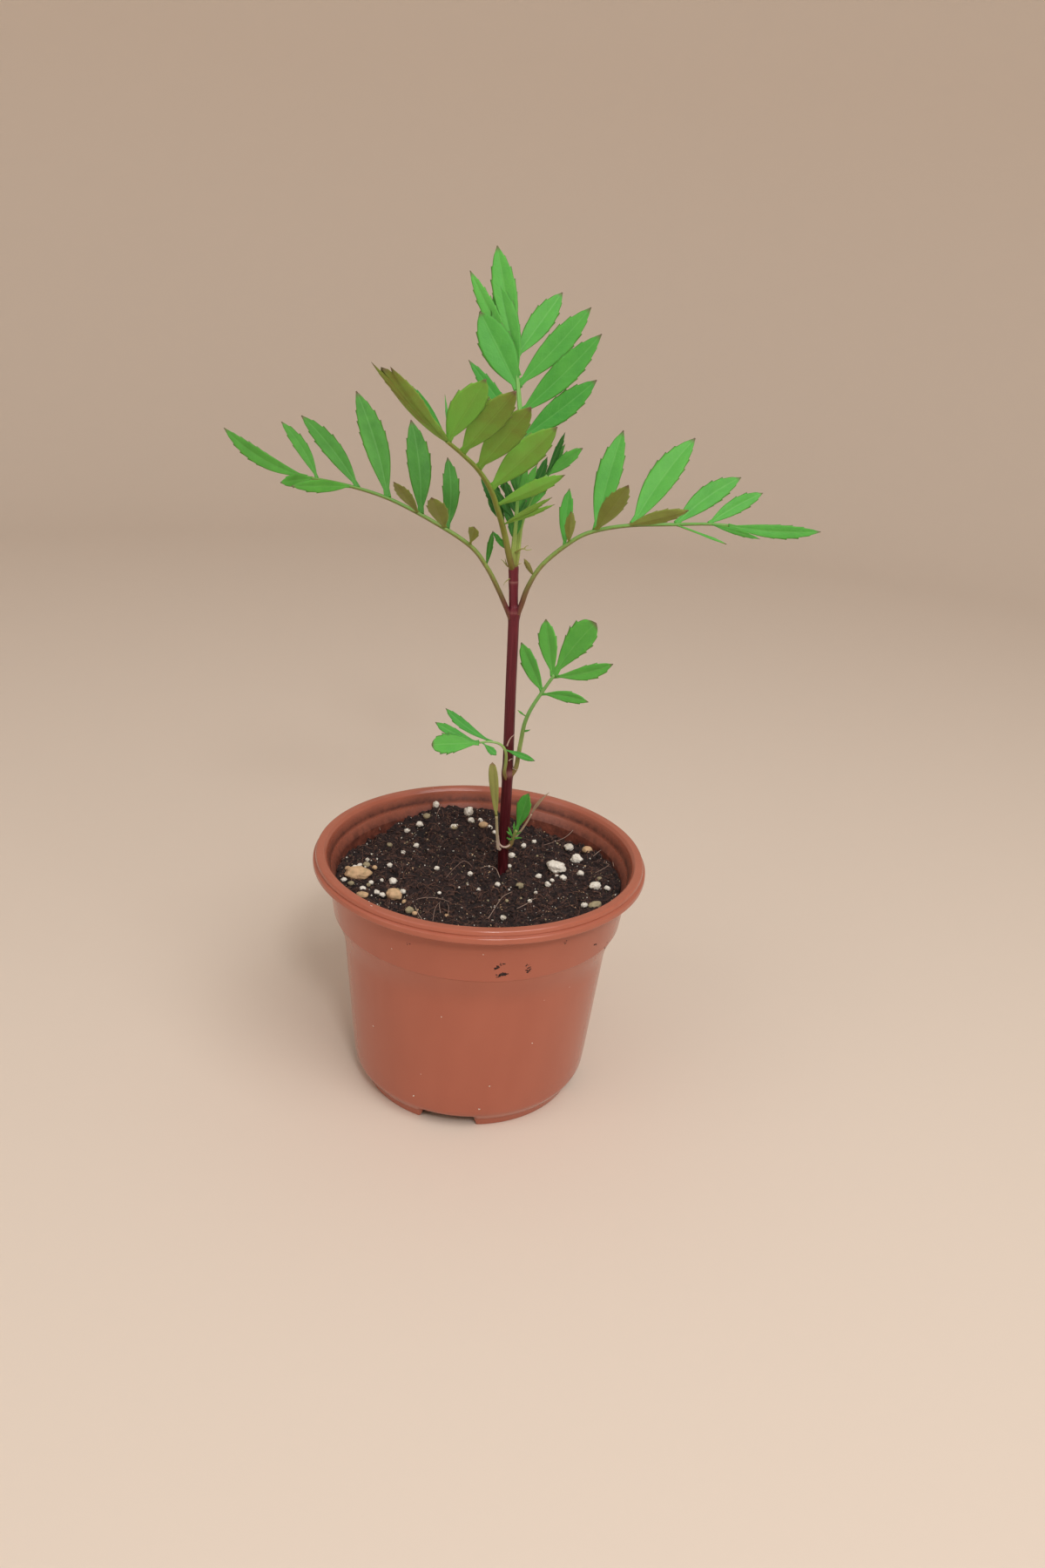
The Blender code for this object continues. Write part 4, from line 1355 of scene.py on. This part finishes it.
SEED_DRESS = dress("seed", (SEED_TOP, SEED_UNDER), "#CDB9A6", "#B0A088", "#96905C", 4.0, "#9A7462", SEED)
WITHERED_DRESS = dress(
    "withered", (WITHERED, WITHERED), "#A8A078", "#B0987C", "#B59C84", 4.0, "#8E6A5C", SEED
)


def needle(
    place: float, side: int, length: float, spread: float, lift: float = 0.0, width: float = 0.7
) -> Leaflet:
    """Returns a leaflet that has stayed a plain needle."""
    return Leaflet(place, side, length, width, spread, lift, margin=ENTIRE)


@dataclass(frozen=True)
class PinnateLeaf:
    """A whole leaf: a grooved stalk that runs on as a midrib, with its leaflets."""

    name: str
    node: str
    heel: Place  # where it springs from inside the stem
    points: tuple[Place, ...]
    upper: Place
    radii: tuple[float, float]
    dress: LeafDress
    leaflets: tuple[Leaflet, ...]
    flare: float = 0.22  # how much its foot widens where it clasps the stem

    def groove(self, angle: float) -> float:
        """Returns the stalk's section: a little wider than high, with a channel along its upper side."""
        channel = 0.3 * math.exp(-(((angle - math.pi / 2) / 0.42) ** 2))
        return 1.0 + 0.1 * math.cos(2 * angle) - channel

    def build(self) -> None:
        """Grows the stalk and the leaflets as one piece."""
        mesh, chance = PieceMesh(), random.Random(self.name)
        stalk = GrowthLine((self.heel, *self.points), self.upper)
        first, last = self.radii

        def radius(distance: float) -> float:
            """Returns the stalk's radius at a distance from its heel."""
            share = distance / stalk.length
            return first + (last - first) * share + self.flare * first * math.exp(-((distance / 2.4) ** 2))

        grow_stalk(mesh, stalk, radius, self.groove, sides=18, pitch=0.8)
        midrib = GrowthLine(self.points, self.upper)
        for leaflet in self.leaflets:
            leaflet.grow(mesh, midrib, leaflet.tone + chance.uniform(-0.12, 0.12))
        mesh.piece(self.name, self.dress, [self.node])


BIG_LEAVES = (
    PinnateLeaf(
        "left_leaf", "leaf_left", (5.0, 3.7, 154.4),
        ((3.2, 3.0, 158.0), (0.8, 2.0, 163.0), (-3.0, 0.0, 170.0), (-8.0, -1.0, 176.0), (-18.0, -2.0, 182.0),
         (-31.0, -3.0, 188.0), (-43.0, -3.0, 191.0), (-54.0, -3.0, 192.5)),
        (0.3, 0.0, 1.0), (0.9, 0.45), LEFT_DRESS,
        (Leaflet(1.0, 1, 30, 4.2, 28.2, 28.4, -2.0, 0, -50, tone=0.3),
         Leaflet(0.96, 1, 20, 3.6, 49.7, 52.7, 1, tone=0.35),
         Leaflet(0.8, 1, 26, 5.3, 38.5, 56.9, 1, tone=0.6),
         Leaflet(0.68, 1, 31, 7.0, 53.8, 61.2, 1, tone=0.45),
         Leaflet(0.54, 1, 26, 6.8, 58.3, 66, 1, tone=0.75),
         Leaflet(0.42, 1, 20, 4.9, 61.9, 68, 1, tone=0.85),
         Leaflet(0.98, -1, 14, 3.4, 62.2, -3, turn=-70, tone=0.3),
         Leaflet(0.83, -1, 20, 3.4, 46.6, -5.4, turn=-70, tone=0.3),
         Leaflet(0.55, -1, 23, 3.6, 61.1, 22, turn=30), Leaflet(0.43, -1, 21, 5.4, 63.8, 26, turn=25),
         Leaflet(0.31, -1, 11, 3.2, 68.5, 35.3, belly=0.68),
         Leaflet(0.2, -1, 11, 1.7, 39.8, 76.7, turn=180, tone=1.1)),
    ),
    PinnateLeaf(
        "right_leaf", "leaf_right", (6.2, 3.7, 154.8),
        ((7.5, 3.0, 158.5), (9.4, 1.0, 165.5), (13.2, 0.0, 172.3), (21.3, -1.0, 179.8), (27.5, -1.0, 182.8),
         (36.5, -2.0, 185.0), (48.0, -2.0, 186.0), (58.0, -3.0, 187.0), (64.0, -3.0, 187.0)),
        (-0.2, 0.0, 1.0), (0.9, 0.45), RIGHT_DRESS,
        (Leaflet(1.0, 1, 28, 3.9, -8.7, 6.4, 0.8, 0, 90, tone=0.5),
         Leaflet(0.92, -1, 19, 4.4, 34.8, 44.9, -0.5, turn=20),
         Leaflet(0.79, -1, 24, 6.2, 38.1, 48, -1, turn=15, tone=0.6),
         Leaflet(0.62, -1, 31, 8.0, 52, 59.7, -1, tone=0.4),
         Leaflet(0.47, -1, 29, 7.0, 61.5, 67.6, -0.6, tone=0.5),
         Leaflet(0.33, -1, 16, 3.9, 50.8, 75.4, -0.3, tone=0.6),
         Leaflet(0.93, 1, 17, 1.6, 44.1, -6.7, turn=70), Leaflet(0.79, 1, 18, 1.2, 41.2, -17.2),
         Leaflet(0.6, 1, 20, 4.0, 34.5, 24.5, turn=-45), Leaflet(0.47, 1, 25, 5.8, 62, 36, turn=-25),
         Leaflet(0.35, 1, 15, 2.9, 61.9, 39.2, turn=-15), Leaflet(0.15, 1, 7.5, 1.5, 57, 50, tone=1.1)),
    ),
    PinnateLeaf(
        "back_leaf", "leaf_back", (4.5, 4.3, 168.4),
        ((4.8, 6.2, 171.2), (5.5, 8.5, 180.0), (5.5, 11.0, 195.0), (5.0, 13.0, 205.0), (3.5, 15.0, 214.0),
         (2.0, 18.0, 224.0), (1.0, 20.0, 229.0)),
        (0.0, -1.0, 0.2), (1.15, 0.45), BACK_DRESS,
        (Leaflet(1.0, 1, 29, 7.0, -2.1, 8, tone=0.45), Leaflet(0.95, 1, 23, 6.7, 42.8, -4.7, tone=0.4),
         Leaflet(0.82, 1, 29, 7.2, 50.1, 10.7, 0.5, tone=0.5),
         Leaflet(0.69, 1, 31, 7.5, 55.3, 15, 0.6, tone=0.6),
         Leaflet(0.58, 1, 26, 7.0, 57.2, 12.8, 0.4, tone=0.8),
         Leaflet(0.9, -1, 31, 4.5, 21.2, -17.2, tone=0.4),
         Leaflet(0.86, -1, 27, 8.0, 9.3, -33.4, turn=20, tone=0.5),
         Leaflet(0.8, -1, 24, 9.6, 22.7, -2.4, tone=0.5),
         Leaflet(0.6, -1, 25, 3.8, 37.2, 24.2, turn=-10, tone=1.0)),
        flare=0.0,
    ),
    PinnateLeaf(
        "front_leaf", "leaf_front", (4.6, 4.3, 168.4),
        ((3.5, 1.7, 172.0), (1.3, -1.5, 180.5), (-0.5, -6.0, 186.5), (-3.0, -11.0, 193.5),
         (-6.5, -17.5, 199.5), (-10.5, -24.0, 204.0), (-14.5, -31.0, 208.0)),
        (0.0, 0.6, 0.8), (0.9, 0.5), FRONT_DRESS,
        (Leaflet(1.0, 1, 38, 3.8, -5.6, -16.0, 0, -1.2, margin=OBLONG, tone=0.75, fade=0.5),
         Leaflet(1.0, 1, 37, 3.4, -8.3, -14.0, 0, -1.2, belly=0.62, tone=0.75, fade=0.5),
         Leaflet(1.0, 1, 41, 1.8, -4.2, -16.8, 0, -1.2, belly=0.6, tone=0.75, fade=0.5),
         Leaflet(1.0, 1, 22.5, 1.5, 20.6, 74.6, 1.5, turn=-40, tone=1.2),
         Leaflet(0.97, 1, 13, 0.7, 84.4, 85.9, turn=-40, tone=1.2),
         Leaflet(1.0, -1, 22, 8.4, 55.9, 24, turn=-20, tone=0.1, fade=0.3),
         Leaflet(0.85, -1, 26, 8.4, 58.9, 16.4, turn=-20, tone=0.6, fade=0.7),
         Leaflet(0.68, -1, 27, 8.2, 54.1, 12, turn=-20, tone=0.45, fade=0.6),
         Leaflet(0.5, -1, 27, 8.0, 57.8, 14.6, turn=-20, tone=0.15, fade=0.25),
         Leaflet(0.38, -1, 24, 4.0, 63.7, -4.7, turn=-15, tone=0.1),
         Leaflet(0.23, -1, 20, 1.6, 53.9, -5.4, turn=-20, tone=0.4),
         Leaflet(0.23, -1, 19, 1.5, 61, -5.7, turn=-20, tone=0.4),
         Leaflet(0.061, 1, 7, 2.0, 29, 10, turn=180, tone=1.2)),
        flare=0.0,
    ),
)

SMALL_LEAVES = (
    PinnateLeaf(
        "young_leaf_with_split_tip", "young_leaf_right", (4.6, 4.2, 167.6),
        ((5.5, 4.4, 172.7), (6.1, 5.0, 182.0), (8.7, 4.5, 190.0), (12.5, 3.5, 196.5)),
        (-0.3, -1.0, 0.3), (0.75, 0.45), YOUNG_DRESS,
        (Leaflet(1.0, 1, 13, 3.8, 18.1, 12, tone=0.1), Leaflet(0.97, -1, 14, 1.8, 13.5, 40, tone=1.2),
         Leaflet(0.92, -1, 12, 2.0, 6, 0, tone=0.5), Leaflet(0.8, 1, 8, 2.4, 31, 20, tone=0.2),
         Leaflet(0.7, -1, 12, 2.6, 8, 10, tone=0.8), Leaflet(0.55, 1, 9, 1.8, 22, 0, tone=0.3),
         Leaflet(0.5, -1, 10, 2.0, 14, 0, tone=0.9)),
    ),
    PinnateLeaf(
        "young_leaf_in_the_heart", "young_leaf_middle", (4.5, 4.2, 167.6),
        ((4.3, 4.0, 173.0), (4.5, 3.4, 182.0), (4.5, 2.6, 190.0)),
        (0.0, -1.0, 0.2), (0.8, 0.5), YOUNG_DRESS,
        (Leaflet(1.0, -1, 12, 2.2, 16, tone=0.8), Leaflet(1.0, 1, 14, 2.4, 1, tone=0.6),
         Leaflet(0.85, 1, 13, 2.4, 22, tone=0.1), Leaflet(0.85, -1, 11, 2.4, 34, tone=1.0),
         Leaflet(0.73, 1, 14, 2.2, 9, 10, tone=0.2), Leaflet(0.7, -1, 10, 2.4, 24, 10, tone=1.1),
         Leaflet(0.59, -1, 12, 2.2, 38, tone=1.0), Leaflet(0.59, 1, 11, 2.2, 21, tone=0.7),
         Leaflet(0.46, 1, 9, 2.0, 16, 10, tone=1.1), Leaflet(0.4, -1, 9, 2.2, 26, tone=0.9),
         Leaflet(0.3, 1, 7, 1.6, 12, 15, tone=0.6), Leaflet(0.26, -1, 7, 1.8, 18, 10, tone=0.9)),
    ),
    PinnateLeaf(
        "young_leaf_behind_the_stalk", "young_leaf_left", (4.5, 4.3, 167.6),
        ((2.8, 4.8, 172.8), (1.5, 5.2, 180.0), (-0.5, 5.4, 186.0)),
        (0.3, -1.0, 0.3), (0.45, 0.35), YOUNG_DRESS,
        (Leaflet(0.62, 1, 13, 1.8, 2, 0, tone=1.0), Leaflet(0.92, 1, 12, 2.8, -12, 0, tone=1.0),
         Leaflet(0.95, -1, 9, 2.6, 16, 0, tone=1.1), Leaflet(0.7, -1, 8, 2.0, 20, 0, tone=0.9)),
    ),
    PinnateLeaf(
        "lower_right_leaf", "lower_leaf_right", (7.2, 3.8, 103.4),
        ((9.3, 3.0, 107.0), (9.9, 2.6, 112.0), (10.4, 2.0, 117.0), (11.0, 0.0, 123.0), (12.5, -2.0, 128.5),
         (15.5, -4.0, 135.0), (18.5, -6.0, 141.0)),
        (-0.2, -0.8, 0.6), (0.7, 0.45), LOWER_DRESS,
        (Leaflet(1.0, 1, 22, 8.6, 3.2, 2.4, -0.8, belly=0.7, margin=COARSE, tone=0.2),
         Leaflet(0.98, -1, 17, 6.4, 44.1, 6.6, belly=0.6, tone=0.3),
         Leaflet(0.98, 1, 19.5, 4.4, 37.4, -18.7, 0.9, tone=0.3, belly=0.6),
         Leaflet(0.81, -1, 16, 5.8, 67.5, -1.8, tone=0.3),
         Leaflet(0.78, 1, 15.5, 3.5, 57.1, -11.9, -0.7, tone=0.4, belly=0.6), needle(0.52, -1, 3.7, 90),
         needle(0.36, 1, 3.0, 50)),
    ),
    PinnateLeaf(
        "lower_left_leaf", "lower_leaf_left", (6.9, 3.6, 102.6),
        ((5.9, 1.1, 106.0), (6.1, 0.0, 110.0), (5.8, -1.0, 114.0), (4.0, -1.5, 116.5), (0.5, -2.0, 117.3),
         (-2.4, -2.2, 116.8)),
        (0.0, -0.8, 0.6), (0.6, 0.26), LOWER_DRESS,
        (Leaflet(0.78, 1, 18, 3.0, 35.8, -21.1, -1.0, turn=-20, belly=0.6, tone=0.9),
         Leaflet(1.0, 1, 15, 3.0, 35.6, 0.8, -0.6, belly=0.62, tone=0.8),
         Leaflet(1.0, -1, 14.5, 6.2, -7.6, 1.6, belly=0.68, margin=COARSE, tone=0.3),
         Leaflet(0.95, -1, 6, 2.2, 127.4, 0.2, belly=0.68, tone=0.8),
         Leaflet(0.5, 1, 11, 2.1, 140.6, 5.3, turn=-30, margin=ENTIRE, belly=0.6, tone=1.2, fade=0.6)),
    ),
    PinnateLeaf(
        "left_seed_leaf", "cotyledon_left", (6.6, 2.9, 79.4),
        ((5.6, 2.0, 79.5), (5.0, 1.2, 84.0), (4.3, 0.5, 91.5)),
        (-0.2, -1.0, 0.0), (0.45, 0.4), SEED_DRESS,
        (Leaflet(1.0, 1, 19, 3.0, -1.7, -0.7, margin=OBLONG, belly=0.68),),
        flare=0.2,
    ),
    PinnateLeaf(
        "right_seed_leaf", "cotyledon_right", (7.8, 3.8, 79.6),
        ((9.7, 4.8, 81.0), (12.4, 4.5, 85.0), (14.4, 4.0, 89.0), (15.4, 3.6, 91.6)),
        (-0.2, -1.0, 0.0), (0.42, 0.24), WITHERED_DRESS,
        (Leaflet(1.0, 1, 10, 1.1, 10.3, -0.6, -0.6, margin=ENTIRE, belly=0.4, fold=0.6),),
        flare=0.3,
    ),
    PinnateLeaf(
        "side_shoot_leaf", "side_shoot", (7.9, 3.4, 79.4),
        ((9.4, 2.2, 81.0), (10.2, 1.5, 84.5), (11.0, 0.8, 87.0)),
        (-0.3, -0.8, 0.5), (0.6, 0.5), LOWER_DRESS,
        (Leaflet(0.95, 1, 15, 5.0, -8, belly=0.62, tone=0.5), needle(0.44, -1, 5, 34.6, 37.3),
         needle(0.5, -1, 4.5, 51, 59.9), needle(0.36, -1, 4, 63.9, 88.8), needle(0.58, -1, 5, 22, -7.8),
         needle(0.3, -1, 3.5, 97, width=0.6), needle(0.44, 1, 4, 52, 9.3),
         needle(0.6, 1, 3.5, 30, width=0.6)),
        flare=0.3,
    ),
)


@dataclass
class Stem:
    """The ribbed stem, from its hole in the mix to the youngest node."""

    line: tuple[tuple[Place, float], ...] = (
        ((7.5, 3.6, 63.0), 1.6), ((7.5, 3.6, 70.0), 1.65), ((7.2, 4.0, 80.0), 1.65),
        ((6.9, 4.0, 105.0), 1.65), ((6.2, 4.0, 131.0), 1.6), ((5.6, 4.0, 156.0), 1.6),
        ((5.3, 4.0, 159.0), 1.3), ((4.6, 4.1, 169.9), 1.35),
    )
    # Height and swelling of each node, then height, reach and strength of each scar.
    nodes: tuple[tuple[float, float], ...] = (
        (80.0, 0.15), (105.0, 0.25), (156.3, 0.45), (165.8, 0.1), (169.4, 0.12),
    )
    scars: tuple[Place, ...] = (
        (80.2, 0.35, 0.5), (105.2, 1.1, 0.55), (156.6, 0.3, 0.3), (165.8, 0.25, 0.6),
    )
    node_reach: float = 1.7
    ribs: int = 9
    rib_depth: float = 0.045

    def build(self) -> None:
        """Grows the stem as one piece."""
        line = GrowthLine([place for place, _ in self.line], (0.0, -1.0, 0.0))
        foot = self.line[0][0][2]

        def radius(distance: float) -> float:
            """Returns the stem's radius, with a swelling at each node."""
            level = foot + distance
            size = self.line[-1][1]
            for (low, thick), (high, thin) in zip(self.line, self.line[1:]):
                if level <= high[2]:
                    share = max(0.0, (level - low[2]) / (high[2] - low[2]))
                    size = thick + (thin - thick) * share
                    break
            return size + sum(
                swell * math.exp(-(((level - node) / self.node_reach) ** 2)) for node, swell in self.nodes
            )

        def scar(distance: float) -> float:
            """Returns how pale a leaf's or seed leaf's scar is at a distance."""
            level = foot + distance
            return sum(pale * math.exp(-(((level - at) / reach) ** 2)) for at, reach, pale in self.scars)

        def ribbed(angle: float) -> float:
            """Returns what the ribs make of the radius at an angle."""
            return 1.0 + self.rib_depth * math.cos(self.ribs * angle)

        mesh = PieceMesh()
        grow_stalk(mesh, line, radius, ribbed, sides=54, pitch=0.45, mark=scar)
        mesh.piece("ribbed_stem", [STEM_SKIN], ["stem"])


@dataclass
class NodeThreads:
    """The pale threads and small bracts at the stem's nodes, too thin to be packed as solids."""

    points: int = 14
    # Places and radius of each.
    threads: tuple[tuple[tuple[Place, ...], float], ...] = (
        (((5.2, 2.2, 84.0), (5.6, 2.0, 81.6), (6.5, 1.9, 80.5), (7.7, 1.8, 80.2), (9.0, 2.0, 80.8),
          (10.1, 2.4, 82.4)), 0.34),
        (((6.2, 2.2, 114.6), (6.6, 1.8, 116.3), (7.3, 1.6, 117.8), (8.1, 1.5, 118.7)), 0.3),
        (((7.0, 2.1, 109.8), (7.8, 2.0, 110.5), (8.6, 2.2, 110.5)), 0.2),
        (((8.3, 2.6, 107.2), (9.2, 2.2, 107.0), (10.2, 2.0, 106.7)), 0.12),
        (((5.0, 3.2, 174.2), (6.8, 2.0, 175.6), (8.2, 1.9, 175.3), (9.5, 2.0, 175.6)), 0.3),
        (((7.2, 2.0, 175.5), (7.9, 2.0, 176.4), (8.5, 2.0, 176.6)), 0.2),
        (((4.0, 3.4, 169.5), (2.7, 3.0, 170.2), (1.6, 3.0, 171.4), (0.9, 3.0, 171.9)), 0.28),
        (((2.6, 3.0, 170.4), (2.2, 3.0, 171.6), (2.0, 3.0, 172.3)), 0.2),
        (((5.0, 3.2, 169.8), (5.6, 2.6, 170.7), (6.8, 2.4, 171.3)), 0.28),
        (((4.4, 3.4, 166.6), (3.4, 3.0, 166.2), (2.4, 3.0, 165.2), (2.1, 3.0, 164.4)), 0.2),
    )

    def build(self) -> None:
        """Builds the threads as one piece."""
        mesh, count = PieceMesh(), self.points
        for index, (places, radius) in enumerate(self.threads):
            line = GrowthLine(places, (0.0, -1.0, 0.1))
            # The first one is fast at both ends, so it doesn't taper.
            taper = 0.75 if index else 0.0
            radii = [radius * (1.0 - taper * step / (count - 1)) for step in range(count)]
            mesh.rod(line.spaced(count), radii, 0.5, skin=0 if index < 4 else 1, sides=8)
        mesh.piece("node_threads", [THREAD_SKIN, YOUNG_DRESS[0]])


# ----------------------------------------------------------------------------------------------- studio


@dataclass(frozen=True)
class StudioPaper(Finish):
    """Matt background paper: plain, pale and warm, with no pattern that could be seen."""

    tint: str = "#DCCDBE"

    def surface(self, look: Look) -> dict:
        """Sets the plain tint."""
        return {"Base Color": self.tint, "Roughness": 0.9}


@dataclass
class Studio:
    """The floor that rises into a wall all round, the soft lights and the camera."""

    floor_radius: float = 900.0
    cove: float = 500.0
    wall: float = 1500.0
    camera_back: float = 335.5
    camera_height: float = 245.0
    pitch: float = 22.9
    yaw: float = 2.0
    roll: float = 4.19
    lens: float = 27.0
    ambient: float = 0.52
    middle: float = 120.0  # the height that the lamps look at
    # Name, place, power in watts and side of each lamp.
    lamps: tuple[tuple[str, Place, float, float], ...] = (
        ("key_light", (430.0, -590.0, 980.0), 6.6, 700.0),
        ("fill_light", (-700.0, -500.0, 700.0), 1.5, 700.0),
        ("window_light", (150.0, -765.0, 780.0), 2.6, 130.0),
    )

    def sweep(self) -> None:
        """Turns the floor, its cove and the wall, which are only a stage."""
        mesh, steps = PieceMesh(), 24
        outline = [(0.0, 0.0), (self.floor_radius, 0.0)]
        for step in range(1, steps + 1):
            angle = math.pi / 2 * step / steps
            radius = self.floor_radius + self.cove * math.sin(angle)
            outline.append((radius, self.cove * (1 - math.cos(angle))))
        outline.append((self.floor_radius + self.cove, self.wall))
        mesh.lathe(outline, 128, flip=True)
        data = mesh.data("studio_floor", [StudioPaper("pale_background_paper", "")])
        floor = add_object("studio_floor", data)

    def lamp(self, name: str, place: Place, energy: float, size: float) -> None:
        """Hangs a square soft light that looks at the middle of the plant."""
        data = bpy.data.lights.new(name, "AREA")
        data.energy, data.size = energy, size * MM
        light = add_object(name, data)
        light.location = Vector(place) * MM
        light.rotation_mode = "QUATERNION"
        target = Vector((0.0, 0.0, self.middle)) * MM
        light.rotation_quaternion = (target - light.location).to_track_quat("-Z", "Y")
        light.visible_camera = False

    def surround(self) -> None:
        """Gives the studio an even pale light from all sides."""
        world = bpy.data.worlds.new("soft_studio_light")
        world.use_nodes = True
        background = world.node_tree.nodes["Background"]
        set_inputs(world.node_tree, background, {"Color": "#FFFAF4", "Strength": self.ambient})
        bpy.context.scene.world = world

    def camera(self) -> None:
        """Stands the camera in front of the pot, tipped down and a little turned and rolled."""
        pitch, yaw, roll = (math.radians(angle) for angle in (self.pitch, self.yaw, self.roll))
        ahead = Vector((math.sin(yaw) * math.cos(pitch), math.cos(yaw) * math.cos(pitch), -math.sin(pitch)))
        level = Vector((math.cos(yaw), -math.sin(yaw), 0.0))
        top = level.cross(ahead)
        right = math.cos(roll) * level + math.sin(roll) * top
        up = math.cos(roll) * top - math.sin(roll) * level
        data = bpy.data.cameras.new("camera")
        data.lens, data.clip_start, data.clip_end = self.lens, 0.01, 10.0
        camera = add_object("camera", data)
        stand = pot_axis() + Vector((0.0, -self.camera_back, self.camera_height)) * MM
        turned = Matrix((right, up, -ahead)).transposed().to_4x4()
        camera.matrix_world = Matrix.Translation(stand) @ turned
        bpy.context.scene.camera = camera

    def build(self) -> None:
        """Sets the stage, the lights and the camera."""
        self.sweep()
        self.surround()
        for lamp in self.lamps:
            self.lamp(*lamp)
        self.camera()
        bpy.context.scene.view_settings.view_transform = "Standard"


def main() -> None:
    """Builds the pot, the mix, the plant and the studio."""
    logging.basicConfig(level=logging.INFO, format="%(name)s %(message)s")
    NurseryPot().build()
    PotDirt().build()
    PottingMix().build()
    for leaf in (*BIG_LEAVES, *SMALL_LEAVES):
        leaf.build()
    Stem().build()
    NodeThreads().build()
    Studio().build()


if __name__ == "__main__":
    main()
